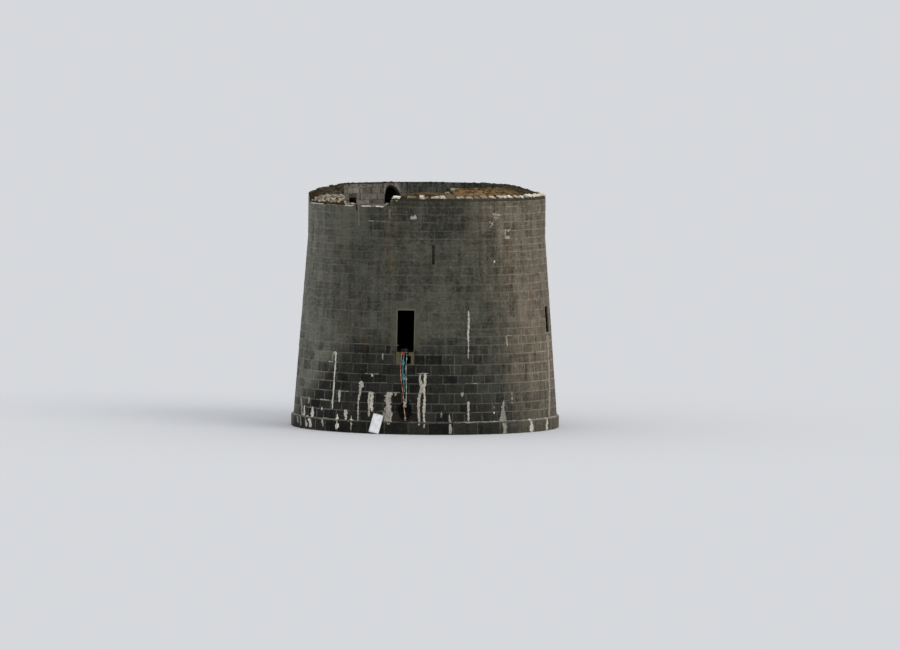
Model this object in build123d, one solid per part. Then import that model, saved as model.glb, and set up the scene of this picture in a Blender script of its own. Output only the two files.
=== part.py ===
from build123d import *
import math
import os

# A round gun tower of coursed stone, with a raised door, a domed room and a three-lobed gun platform.
# The origin is on the ground on the tower's axis, +Z is up and the door looks along -Y.
# Lengths are in millimetres. A bearing is in degrees from the door, turning towards +X.

# Outside of the tower
plinth_height = 640.0
plinth_projection = 110.0
plinth_weathering = 60.0
foot_radius = 6770.0
neck_radius = 6090.0
neck_level = 9800.0

# Room, first floor and dome
room_radius = 3350.0
room_shift = 450.0
ledge_width = 150.0
board_thickness = 45.0
board_gap = 10.0
beam_depth = 240.0
beam_width = 200.0
beam_spacing = 1050.0
beam_count = 6
hatch_width = 800.0
hatch_margin = 50.0
hatch_bay = 2
springing_level = 6600.0
dome_rise = 2350.0
dome_bands = 7
vault_seat = 250.0
vault_bearings = (45.0, 135.0, 225.0, 315.0)

# Gun platform and parapet
platform_level = 10300.0
paving_thickness = 120.0
lobe_radius = 2540.0
lobe_shift = 1850.0
lobe_bearings = (60.0, 180.0, 300.0)
pivot_radius = 480.0
pivot_height = 60.0
pivot_socket_radius = 90.0
breach_level = 11510.0
rim_level = 11930.0
crest_level = 12400.0
crest_run = 1600.0
coping_width = 480.0
coping_thickness = 150.0
coping_joint = 12.0
worn_edge_rise = 70.0
worn_crest_drop = 70.0
recess_width = 1500.0
recess_depth = 1050.0
recess_cover = 240.0
recess_lobe_bearing = 180.0
recess_bearing = 250.0
niche_width = 700.0
niche_height = 1390.0
niche_depth = 450.0
niche_lobe_bearing = 300.0
niche_bearing = 245.5

# Bearings where the wall and the parapet are divided
wall_parts = {
    "wall_front_right": (0.0, 45.0),
    "wall_right_front": (45.0, 85.0),
    "wall_right_rear": (85.0, 132.0),
    "wall_rear_right": (132.0, 180.0),
    "wall_rear_left": (180.0, 228.0),
    "wall_left_rear": (228.0, 275.0),
    "wall_left_front": (275.0, 315.0),
    "wall_front_left": (315.0, 360.0),
}
parapet_parts = {
    "parapet_front_right": (0.0, 60.0),
    "parapet_right": (60.0, 120.0),
    "parapet_rear_right": (120.0, 180.0),
    "parapet_rear_left": (180.0, 240.0),
    "parapet_left": (240.0, 300.0),
    "parapet_front_left": (300.0, 360.0),
}
slope_parts = {
    "slope_front_right": (-11.4, 60.0),
    "slope_right": (60.0, 120.0),
    "slope_rear_right": (120.0, 180.0),
    "slope_rear_left": (180.0, 240.0),
    "slope_left": (240.0, 288.0),
}
worn_slope_bearings = (288.0, 333.0)
broken_end_pitch = 36.0
worn_end_pitch = 74.0
worn_end_heading = 9.8
worn_end_offset = 4236.0
low_crest_bearing = 24.0
low_crest_level = 12150.0

# Door and the stones round it
door_width = 870.0
door_height = 2000.0
door_sill_level = 4275.0
passage_width = 1040.0
passage_arch_rise = 200.0
dressing_depth = 270.0
jamb_width = 300.0
door_lintel_height = 420.0
door_lintel_bearing = 300.0
apron_width = 900.0
apron_height = 715.0
apron_depth = 600.0
hole_width = 350.0
hole_height = 400.0
hole_depth = 300.0
hole_offset = 125.0
hole_drop = 305.0

# Side windows and the blind slit
window_bearings = (85.0, 275.0)
window_width = 640.0
window_height = 1340.0
window_sill_level = 4960.0
window_reveal = 600.0
window_splay_width = 1000.0
window_lintel_height = 400.0
window_lintel_bearing = 200.0
window_sill_height = 220.0
window_sill_bearing = 100.0
slit_bearing = 12.4
slit_width = 160.0
slit_height = 960.0
slit_level = 8600.0
slit_depth = 110.0

# Ropes and tyre that hang from the door sill
face_clearance = 15.0
bundle_width = 320.0
bundle_thickness = 110.0
bundle_rise = 80.0
bundle_drop = 200.0
bundle_tail = 450.0
bundle_offset = -40.0
bundle_rounding = 25.0
rope_radius = 22.0
rope_bend_share = 0.45
rope_end_run = 180.0
rope_end_spread = 45.0
red_route = ((-170.0, 3870.0), (-222.0, 3240.0), (-128.0, 2455.0), (-40.0, 2035.0))
red_over_tyre = ((-70.0, 165.0, 545.0), (-38.0, 176.0, 300.0), (-8.0, 166.0, 10.0))
blue_route = ((-60.0, 3820.0), (-107.0, 3150.0), (-38.0, 2910.0), (-25.0, 2310.0), (25.0, 2160.0))
pale_route = ((90.0, 3870.0), (60.0, 3330.0), (92.0, 2700.0), (112.0, 2100.0))
tyre_width = 680.0
tyre_height = 910.0
tyre_depth = 200.0
tyre_hole_width = 290.0
tyre_hole_height = 500.0
tyre_wall = 40.0
tyre_shoulder = 55.0
tyre_level = 740.0
tyre_offset = 80.0
lashing_width = 150.0
lashing_thickness = 30.0
lashing_clearance = 0.3
foot_lashing_width = 70.0
foot_lashing_thickness = 22.0
foot_lashing_offset = 20.0
knot_width = 66.0
knot_depth = 70.0
knot_height = 62.0
knot_rounding = 18.0
knot_level = 105.0

# Notice board that leans on the plinth
board_width = 580.0
board_height = 1000.0
board_sheet = 18.0
board_bearing = -11.9
board_tilt = 10.5
board_foot_distance = 150.0
board_clearance = 0.3

# Levels and radii worked out from the sizes above
door_head = door_sill_level + door_height
window_head = window_sill_level + window_height
ledge_level = door_sill_level - board_thickness - beam_depth
paving_underside = platform_level - paving_thickness
crest_radius = neck_radius - crest_run
breach_bearing = slope_parts["slope_front_right"][0]
slope_rate = (crest_level - rim_level) / crest_run
batter_rate = (foot_radius - neck_radius) / (neck_level - plinth_height)
plinth_radius = foot_radius + plinth_projection
reach = 2 * plinth_radius


def wall_radius(level):
    return neck_radius + max(0.0, neck_level - level) * batter_rate


def slope_level(radius):
    return rim_level + (neck_radius - radius) * slope_rate


def plan_point(bearing, radius):
    angle = math.radians(bearing)
    return radius * math.sin(angle), -radius * math.cos(angle)


def turned(shape, bearing):
    return Rot(0, 0, bearing) * shape


def revolved(profile):
    return revolve(make_face(Plane.XZ * Polyline(*profile, close=True)), Axis.Z)


def sector(first, last, low, high):
    # A wedge about the tower's axis, between two bearings and two levels
    middle = (first + last) / 2
    corners = [(0, 0)] + [plan_point(bearing, reach) for bearing in (first, middle, last)]
    return extrude(Pos(0, 0, low) * make_face(Polyline(*corners, close=True)), high - low)


def radial_box(bearing, width, near, far, low, high, offset=0.0):
    # A box that lies along a bearing, from one radius to another
    box = Box(width, far - near, high - low)
    return turned(Pos(offset, -(near + far) / 2, (low + high) / 2) * box, bearing)


def arched_void(width, low, springing, crown, near, far):
    # A passage along the door's bearing with an arched head
    half = width / 2
    outline = [
        Line((-half, low), (half, low)),
        Line((half, low), (half, springing)),
        ThreePointArc((half, springing), (0, crown), (-half, springing)),
        Line((-half, springing), (-half, low)),
    ]
    return Pos(0, -near, 0) * extrude(Plane.XZ * make_face(outline), far - near)


def trefoil(low, high):
    centres = [plan_point(bearing, lobe_shift) for bearing in lobe_bearings]
    lobes = [Pos(x, y, (low + high) / 2) * Cylinder(lobe_radius, high - low) for x, y in centres]
    return lobes[0] + lobes[1] + lobes[2]


def outer_mass():
    return revolved([
        (0, plinth_height),
        (foot_radius, plinth_height),
        (neck_radius, neck_level),
        (neck_radius, paving_underside),
        (0, paving_underside),
    ])


def room_void():
    basement_radius = room_radius - ledge_width
    vault_radius = room_radius + vault_seat
    return Pos(0, -room_shift, 0) * revolved([
        (0, plinth_height),
        (basement_radius, plinth_height),
        (basement_radius, ledge_level),
        (room_radius, ledge_level),
        (room_radius, springing_level),
        (vault_radius, springing_level),
        (vault_radius, paving_underside),
        (0, paving_underside),
    ])


def door_dressing_back():
    # The jambs and the lintel share one back face, which is measured where the wall is thinnest
    return wall_radius(door_head + door_lintel_height) - dressing_depth


def door_stone_boxes():
    # Where the dressed stones round the door sit, from their back face out past the wall
    back = door_dressing_back()
    lintel_width = door_width + 2 * door_lintel_bearing
    jamb_offset = (door_width + jamb_width) / 2
    apron_back = wall_radius(door_sill_level) - apron_depth
    apron_low = door_sill_level - apron_height
    return {
        "jambs": [
            radial_box(0, jamb_width, back, reach, door_sill_level, door_head, side * jamb_offset)
            for side in (-1, 1)
        ],
        "lintel": radial_box(0, lintel_width, back, reach, door_head, door_head + door_lintel_height),
        "apron": radial_box(0, apron_width, apron_back, reach, apron_low, door_sill_level),
    }


def window_stone_boxes(bearing):
    lintel_width = window_width + 2 * window_lintel_bearing
    sill_width = window_width + 2 * window_sill_bearing
    lintel_top = window_head + window_lintel_height
    sill_low = window_sill_level - window_sill_height
    lintel_back = wall_radius(lintel_top) - dressing_depth
    sill_back = wall_radius(window_sill_level) - dressing_depth
    return {
        "lintel": radial_box(bearing, lintel_width, lintel_back, reach, window_head, lintel_top),
        "sill": radial_box(bearing, sill_width, sill_back, reach, sill_low, window_sill_level),
    }


def door_void():
    back = door_dressing_back()
    opening = radial_box(0, door_width, 0, reach, door_sill_level, door_head)
    crown = door_head + passage_arch_rise
    return opening + arched_void(passage_width, door_sill_level, door_head, crown, 0, back)


def window_void(bearing):
    # Straight through the outer stones, then splayed out to the room
    back = wall_radius(window_sill_level) - window_reveal
    half, half_splay = window_width / 2, window_splay_width / 2
    splay_end = room_radius - room_shift
    corners = [(-half_splay, 0), (half_splay, 0), (half_splay, -splay_end), (half, -back)]
    corners += [(half, -reach), (-half, -reach), (-half, -back), (-half_splay, -splay_end)]
    face = make_face(Polyline(*corners, close=True))
    return turned(extrude(Pos(0, 0, window_sill_level) * face, window_height), bearing)


def pierced_wall(mass):
    wall = mass - room_void() - door_void()
    door_stones = door_stone_boxes()
    for box in door_stones["jambs"] + [door_stones["lintel"], door_stones["apron"]]:
        wall -= box
    for bearing in window_bearings:
        wall -= window_void(bearing)
        for box in window_stone_boxes(bearing).values():
            wall -= box
    slit_back = wall_radius(slit_level + slit_height) - slit_depth
    slit_top = slit_level + slit_height
    return wall - radial_box(slit_bearing, slit_width, slit_back, reach, slit_level, slit_top)


def opening_strips(low, high):
    # The strips of wall that stand over and under the door and the windows
    strips = {0.0: radial_box(0, passage_width, 0, reach, low, high)}
    for bearing in window_bearings:
        strips[bearing] = radial_box(bearing, window_width, 0, reach, low, high)
    return strips


def wall_nodes(mass):
    wall = pierced_wall(mass)
    strips = opening_strips(plinth_height, paving_underside)
    nodes = {}
    for name, (first, last) in wall_parts.items():
        tool = sector(first, last, plinth_height, paving_underside)
        for bearing, strip in strips.items():
            if bearing in (first % 360, last % 360):
                tool -= strip
        nodes[name] = wall & tool
    places = (
        ("door", 0.0, passage_width, door_sill_level, door_head),
        ("right_window", window_bearings[0], window_width, window_sill_level, window_head),
        ("left_window", window_bearings[1], window_width, window_sill_level, window_head),
    )
    for name, bearing, width, sill, head in places:
        below = radial_box(bearing, width, 0, reach, plinth_height, sill)
        above = radial_box(bearing, width, 0, reach, head, paving_underside)
        nodes["wall_below_" + name] = wall & below
        nodes["wall_above_" + name] = wall & above
    return nodes


def dressing_nodes(mass):
    door_stones = door_stone_boxes()
    jambs = [mass & box for box in door_stones["jambs"]]
    hole_back = wall_radius(door_sill_level) - hole_depth
    hole_top = door_sill_level - hole_drop
    hole = radial_box(0, hole_width, hole_back, reach, hole_top - hole_height, hole_top, hole_offset)
    windows = [window_stone_boxes(bearing) for bearing in window_bearings]
    return {
        "door_jambs": Compound(children=jambs),
        "door_lintel": mass & door_stones["lintel"],
        "door_apron": (mass & door_stones["apron"]) - hole,
        "window_lintels": Compound(children=[mass & stones["lintel"] for stones in windows]),
        "window_sills": Compound(children=[mass & stones["sill"] for stones in windows]),
    }


def base_nodes():
    plinth = revolved([
        (0, 0),
        (plinth_radius, 0),
        (plinth_radius, plinth_height - plinth_weathering),
        (foot_radius, plinth_height),
        (0, plinth_height),
    ])
    floor = Pos(0, -room_shift, plinth_height / 2) * Cylinder(room_radius - ledge_width, plinth_height)
    return {"plinth": plinth - floor, "basement_floor": floor}


def chord_half(radius, distance):
    return math.sqrt(radius ** 2 - distance ** 2)


def floor_nodes():
    # Beams bear on the ledge of the wall and carry a boarded disc with a ladder hatch
    clear_radius = room_radius - board_gap
    beams = []
    for index in range(beam_count):
        distance = (index - (beam_count - 1) / 2) * beam_spacing
        half = chord_half(clear_radius, abs(distance) + beam_width / 2)
        beam = Box(2 * half, beam_width, beam_depth)
        beams.append(Pos(0, distance - room_shift, ledge_level + beam_depth / 2) * beam)
    boards = Cylinder(clear_radius, board_thickness)
    hatch_length = beam_spacing - beam_width - 2 * hatch_margin
    hatch = Pos(0, hatch_bay * beam_spacing, 0) * Box(hatch_width, hatch_length, board_thickness)
    level = door_sill_level - board_thickness / 2
    return {
        "first_floor_beams": Compound(children=beams),
        "first_floor_boards": Pos(0, -room_shift, level) * (boards - hatch),
    }


def vault_nodes():
    # A masonry dome whose bands step inwards to the crown, in four quarters
    sphere_radius = (room_radius ** 2 + dome_rise ** 2) / (2 * dome_rise)
    half_angle = math.asin(room_radius / sphere_radius)
    angles = [half_angle * band / dome_bands for band in range(dome_bands + 1)]
    crown_level = springing_level + dome_rise
    underside = [
        (sphere_radius * math.sin(angle), crown_level - sphere_radius * (1 - math.cos(angle)))
        for angle in angles
    ]
    vault_radius = room_radius + vault_seat
    rim = [(vault_radius, springing_level), (vault_radius, paving_underside), (0, paving_underside)]
    vault = Pos(0, -room_shift, 0) * revolved(underside + rim)
    names = ("vault_right", "vault_rear", "vault_left", "vault_front")
    nodes = {}
    for index, name in enumerate(names):
        first = vault_bearings[index]
        last = vault_bearings[(index + 1) % len(vault_bearings)]
        last += 360 if last < first else 0
        tool = Pos(0, -room_shift, 0) * sector(first, last, springing_level, paving_underside)
        nodes[name] = vault & tool
    return nodes


def platform_node():
    paving = trefoil(paving_underside, platform_level)
    for bearing in lobe_bearings:
        x, y = plan_point(bearing, lobe_shift)
        pivot = Cylinder(pivot_radius, pivot_height) - Cylinder(pivot_socket_radius, pivot_height)
        paving += Pos(x, y, platform_level + pivot_height / 2) * pivot
    return {"platform_paving": paving}


def stair_recess():
    # The arched recess at the stair head, in the side of the rear lobe
    crown = crest_level - recess_cover
    springing = crown - recess_width / 2
    near = lobe_radius - recess_width / 2
    void = arched_void(recess_width, platform_level, springing, crown, near, lobe_radius + recess_depth)
    x, y = plan_point(recess_lobe_bearing, lobe_shift)
    return Pos(x, y, 0) * turned(void, recess_bearing)


def shell_niche():
    # The flat-headed niche in the wall of the left lobe
    top = platform_level + niche_height
    void = radial_box(niche_bearing, niche_width, lobe_radius / 2, lobe_radius + niche_depth,
                      platform_level, top)
    x, y = plan_point(niche_lobe_bearing, lobe_shift)
    return Pos(x, y, 0) * void


def parapet_nodes():
    height = breach_level - paving_underside
    ring = Pos(0, 0, paving_underside + height / 2) * Cylinder(neck_radius, height)
    ring = ring - trefoil(paving_underside, breach_level) - stair_recess() - shell_niche()
    return {
        name: ring & sector(first, last, paving_underside, breach_level)
        for name, (first, last) in parapet_parts.items()
    }


def above_broken_end(heading, pitch, offset=0.0):
    # What has fallen at a side of the breach: all that is above a plane which rises from its floor
    block = Box(reach, reach, reach, align=(Align.CENTER, Align.CENTER, Align.MIN))
    return Rot(0, 0, heading) * Pos(-offset, 0, breach_level) * Rot(0, pitch, 0) * block


def slope_nodes():
    # The earth-topped slope of the parapet: whole, and worn where the coping has gone
    coping_radius = neck_radius - coping_width
    whole = revolved([
        (0, breach_level),
        (neck_radius, breach_level),
        (neck_radius, rim_level - coping_thickness),
        (coping_radius, slope_level(coping_radius) - coping_thickness),
        (coping_radius, slope_level(coping_radius)),
        (crest_radius, crest_level),
        (0, crest_level),
    ])
    worn = revolved([
        (0, breach_level),
        (neck_radius, breach_level),
        (neck_radius, breach_level + worn_edge_rise),
        (crest_radius, crest_level - worn_crest_drop),
        (0, crest_level - worn_crest_drop),
    ])
    void = trefoil(breach_level, crest_level) + stair_recess() + shell_niche()
    whole -= void
    worn -= void
    nodes = {
        name: whole & sector(first, last, breach_level, crest_level)
        for name, (first, last) in slope_parts.items()
    }
    nodes["slope_front_right"] -= above_broken_end(breach_bearing, -broken_end_pitch)
    nodes["slope_front_right"] -= sector(breach_bearing, low_crest_bearing, low_crest_level, crest_level)
    first, last = worn_slope_bearings
    worn = worn & sector(first, last, breach_level, crest_level)
    nodes["slope_worn"] = worn - above_broken_end(worn_end_heading, worn_end_pitch, worn_end_offset)
    return nodes


def coping_node():
    coping_radius = neck_radius - coping_width
    ring = revolved([
        (coping_radius, slope_level(coping_radius) - coping_thickness),
        (neck_radius, rim_level - coping_thickness),
        (neck_radius, rim_level),
        (coping_radius, slope_level(coping_radius)),
    ])
    half_joint = math.degrees(coping_joint / 2 / coping_radius)
    lengths = [
        ring & sector(first + half_joint, last - half_joint, breach_level, crest_level)
        for first, last in slope_parts.values()
    ]
    lengths[0] -= above_broken_end(breach_bearing, -broken_end_pitch)
    return {"coping": Compound(children=lengths)}


def face_point(x, level, standoff):
    # A point in front of the battered face beside the door's centre line
    return x, -(math.sqrt(wall_radius(level) ** 2 - x ** 2) + standoff), level


def bend_radii(points):
    radii = []
    for before, corner, after in zip(points, points[1:], points[2:]):
        arriving = Vector(*corner) - Vector(*before)
        leaving = Vector(*after) - Vector(*corner)
        half_turn = math.radians(arriving.get_angle(leaving)) / 2
        shorter = min(arriving.length, leaving.length)
        radii.append(rope_bend_share * shorter / math.tan(half_turn))
    return radii


def on_tyre(points):
    # Points given across, in front of and above the middle of the tyre
    places = [tyre_place() * Pos(across, -front, rise) for across, front, rise in points]
    return [tuple(place.position) for place in places]


def head_end():
    # The last straight run of a rope, down onto the top of the lashing at the tyre's head
    top = tyre_height / 2 + lashing_clearance + lashing_thickness
    return on_tyre([(rope_end_spread, 0.0, top + rope_end_run), (rope_end_spread, 0.0, top)])


def foot_end():
    # The last straight run of a rope, down in front of the tyre onto the knot at its foot
    front = tyre_depth / 2 + lashing_clearance + foot_lashing_thickness + knot_depth / 2
    top = knot_level - tyre_height / 2
    run = [(foot_lashing_offset, front, top + rope_end_run), (foot_lashing_offset, front, top)]
    return on_tyre(red_over_tyre) + on_tyre(run)


def rope(name, route, end=()):
    standoff = face_clearance + rope_radius
    points = [face_point(x, level, standoff) for x, level in route] + list(end)
    points.insert(0, (*points[0][:2], door_sill_level - bundle_drop))
    radii = bend_radii(points)
    path = FilletPolyline(*points, radius=radii)
    section = Plane(origin=path @ 0, z_dir=path % 0) * Circle(rope_radius)
    tube = sweep(section, path=path)
    expected = math.pi * rope_radius ** 2 * path.length
    print(name, "radii", [round(radius) for radius in radii], "length", round(path.length),
          "volume ratio", round(tube.volume / expected, 4))
    return tube


def rope_nodes():
    face = wall_radius(door_sill_level) + face_clearance
    front = radial_box(0, bundle_width, face, face + bundle_thickness, door_sill_level - bundle_drop,
                       door_sill_level + bundle_rise, bundle_offset)
    tail = radial_box(0, bundle_width, face - bundle_tail, face + bundle_thickness, door_sill_level,
                      door_sill_level + bundle_rise, bundle_offset)
    bundle = front + tail
    front_edges = bundle.edges().filter_by(Axis.X).filter_by(lambda edge: edge.center().Y < -face - 1)
    return {
        "rope_bundle": fillet(front_edges, bundle_rounding),
        "red_rope": rope("red_rope", red_route, foot_end()),
        "blue_rope": rope("blue_rope", blue_route),
        "pale_rope": rope("pale_rope", pale_route, head_end()),
    }


def oval(width, height, depth):
    # An oval disc that stands on edge, centred on its own middle
    return extrude(Plane.XZ * Ellipse(width / 2, height / 2), depth / 2, both=True)


def tyre_place():
    # The middle of the tyre, which lies back against the batter of the wall
    lean = math.degrees(math.atan(batter_rate))
    level = tyre_level + tyre_height / 2
    standoff = face_clearance + lashing_thickness + lashing_clearance + tyre_depth / 2
    return Pos(tyre_offset, -(wall_radius(level) + standoff), level) * Rot(-lean, 0, 0)


def lashing(side, offset, width, thickness):
    # A band of rope turns round the casing, at its head or at its foot
    farthest = abs(offset) + width / 2
    hole_edge = tyre_hole_height / 2 * math.sqrt(1 - (2 * farthest / tyre_hole_width) ** 2)
    band = tyre_height / 2 - hole_edge
    inner_depth = tyre_depth + 2 * lashing_clearance
    inner_band = band + 2 * lashing_clearance
    outer = Box(width, inner_depth + 2 * thickness, inner_band + 2 * thickness)
    ring = outer - Box(width, inner_depth, inner_band)
    return Pos(offset, 0, side * (tyre_height - band) / 2) * ring


def foot_knot():
    front = tyre_depth / 2 + lashing_clearance + foot_lashing_thickness
    knot = Box(knot_width, knot_depth, knot_height, align=(Align.CENTER, Align.MAX, Align.MAX))
    knot = fillet(knot.edges().filter_by(Axis.Z).sort_by(Axis.Y)[:2], knot_rounding)
    return Pos(foot_lashing_offset, -front, knot_level - tyre_height / 2) * knot


def tyre_nodes():
    casing = oval(tyre_width, tyre_height, tyre_depth)
    casing = chamfer(casing.edges(), tyre_shoulder)
    groove = oval(tyre_width - 2 * tyre_wall, tyre_height - 2 * tyre_wall, tyre_depth - 2 * tyre_wall)
    hole = oval(tyre_hole_width, tyre_hole_height, tyre_depth)
    head = lashing(1, 0.0, lashing_width, lashing_thickness)
    foot = lashing(-1, foot_lashing_offset, foot_lashing_width, foot_lashing_thickness) + foot_knot()
    lashings = Compound(children=[tyre_place() * head, tyre_place() * foot])
    return {"hanging_tyre": tyre_place() * (casing - groove - hole), "tyre_lashing": lashings}


def notice_board_node():
    # Its foot is on the ground and its back leans on the edge of the plinth
    edge_level = plinth_height - plinth_weathering
    lean = math.atan(board_foot_distance / edge_level)
    sheet = Rot(0, board_tilt, 0) * Box(board_width, board_sheet, board_height)
    half_rise = sheet.bounding_box().size.Z / 2
    sheet = Pos(0, -board_sheet / 2, half_rise) * sheet
    foot = plinth_radius + board_foot_distance + board_clearance / math.cos(lean)
    leaned = Pos(0, -foot, 0) * Rot(-math.degrees(lean), 0, 0) * sheet
    return {"notice_board": turned(leaned, board_bearing)}


def build():
    mass = outer_mass()
    nodes = {}
    for group in (
        base_nodes(),
        wall_nodes(mass),
        dressing_nodes(mass),
        floor_nodes(),
        vault_nodes(),
        platform_node(),
        parapet_nodes(),
        slope_nodes(),
        coping_node(),
        rope_nodes(),
        tyre_nodes(),
        notice_board_node(),
    ):
        nodes.update(group)
    return nodes


os.makedirs("parts", exist_ok=True)
for node_name, shape in build().items():
    export_step(shape, f"parts/{node_name}.step")
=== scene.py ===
import math
import random

import bmesh
import bpy
import numpy as np
from mathutils import Matrix, Vector, noise
from mathutils.bvhtree import BVHTree


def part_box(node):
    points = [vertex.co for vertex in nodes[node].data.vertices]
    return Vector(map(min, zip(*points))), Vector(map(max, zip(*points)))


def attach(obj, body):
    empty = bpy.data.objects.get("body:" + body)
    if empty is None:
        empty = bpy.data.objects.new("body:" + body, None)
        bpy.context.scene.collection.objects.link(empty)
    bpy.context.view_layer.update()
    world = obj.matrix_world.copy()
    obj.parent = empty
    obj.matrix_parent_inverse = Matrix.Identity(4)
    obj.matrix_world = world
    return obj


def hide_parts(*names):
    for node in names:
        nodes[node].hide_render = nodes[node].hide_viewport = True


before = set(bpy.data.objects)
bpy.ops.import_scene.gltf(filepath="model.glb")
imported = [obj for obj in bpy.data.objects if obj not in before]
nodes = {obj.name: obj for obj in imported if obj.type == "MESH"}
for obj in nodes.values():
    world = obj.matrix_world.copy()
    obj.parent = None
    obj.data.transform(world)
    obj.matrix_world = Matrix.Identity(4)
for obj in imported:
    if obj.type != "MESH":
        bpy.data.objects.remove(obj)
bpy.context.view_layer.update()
print("frame loaded")


# Measures read from the frame

hair = 0.001  # closeness that counts as the same size
pavingRise = 0.12  # top of the paving over the foot of the parapet
lobeRadius, lobeShift = 2.54, 1.85  # a lobe of the gun platform, and how far off the axis it stands
lobeBearings = (60.0, 180.0, 300.0)


def pointsOf(name):
    mesh = nodes[name].data
    flat = np.empty(len(mesh.vertices) * 3, np.float32)
    mesh.vertices.foreach_get("co", flat)
    return flat.reshape(-1, 3).astype(float)


def reachOf(points):
    return np.hypot(points[:, 0], points[:, 1])


plinthPoints = pointsOf("plinth")
plinthRadius = float(reachOf(plinthPoints).max())
plinthTop = float(plinthPoints[:, 2].max())
plinthEdge = plinthPoints[reachOf(plinthPoints) > plinthRadius - hair][:, 2].max()
wallPoints = pointsOf("wall_rear_left")
footRadius = float(reachOf(wallPoints)[wallPoints[:, 2] < plinthTop + hair].max())
neckRadius = float(reachOf(wallPoints)[wallPoints[:, 2] > wallPoints[:, 2].max() - hair].max())
neckLevel = float(wallPoints[np.abs(reachOf(wallPoints) - neckRadius) < hair / 2][:, 2].min())
copingPoints = pointsOf("coping")
copingRadius = reachOf(copingPoints).min()
rimPoints = copingPoints[reachOf(copingPoints) > neckRadius - hair]
rimLevel, rimUnderside = rimPoints[:, 2].max(), rimPoints[:, 2].min()
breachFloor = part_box("parapet_rear_left")[1].z
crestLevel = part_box("slope_right")[1].z
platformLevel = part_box("parapet_rear_left")[0].z + pavingRise
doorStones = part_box("door_jambs")
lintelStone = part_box("door_lintel")
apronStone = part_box("door_apron")
sillLevel, headLevel = doorStones[0].z, doorStones[1].z
doorHalf = float(np.abs(pointsOf("door_jambs")[:, 0]).min())
batter = (footRadius - neckRadius) / (neckLevel - plinthTop)


def skin(level):
    # Radius of the outer face at a level, plinth and weathering included
    level = np.asarray(level, float)
    wall = neckRadius + np.maximum(0.0, neckLevel - level) * batter
    share = np.clip((plinthTop - level) / (plinthTop - plinthEdge), 0, 1)
    return np.where(level > plinthTop, wall, footRadius + (plinthRadius - footRadius) * share)


def outward(bearing, radius, level):
    # Points at bearings from the door, in radians, at radii and levels
    shape = np.broadcast(bearing, radius, level).shape
    across, along = radius * np.sin(bearing), -radius * np.cos(bearing)
    return np.stack([np.broadcast_to(a, shape) for a in (across, along, level)], -1)


# Shader kit

def tone(red, green, blue):
    # A colour as the eye reads it, 0 to 255, turned into the linear one that sockets hold
    parts = [part / 255 for part in (red, green, blue)]
    return tuple(p / 12.92 if p < 0.04045 else ((p + 0.055) / 1.055) ** 2.4 for p in parts) + (1.0,)


class Wire:
    # One value in a shader, so that shader maths reads as plain expressions
    def __init__(self, finish, socket):
        self.finish, self.socket = finish, socket

    def maths(self, operation, first, second=None, clamp=False):
        sockets = {0: first} if second is None else {0: first, 1: second}
        return self.finish.node("ShaderNodeMath", {"operation": operation, "use_clamp": clamp}, sockets)

    def __add__(self, other):
        return self.maths("ADD", self, other)

    def __radd__(self, other):
        return self.maths("ADD", other, self)

    def __sub__(self, other):
        return self.maths("SUBTRACT", self, other)

    def __rsub__(self, other):
        return self.maths("SUBTRACT", other, self)

    def __mul__(self, other):
        return self.maths("MULTIPLY", self, other)

    def __rmul__(self, other):
        return self.maths("MULTIPLY", other, self)

    def __abs__(self):
        return self.maths("ABSOLUTE", self)

    def atLeast(self, other):
        return self.maths("MAXIMUM", self, other)

    def fraction(self):
        return self.maths("FRACT", self)

    def clamped(self):
        return self.maths("ADD", self, 0.0, clamp=True)


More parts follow.
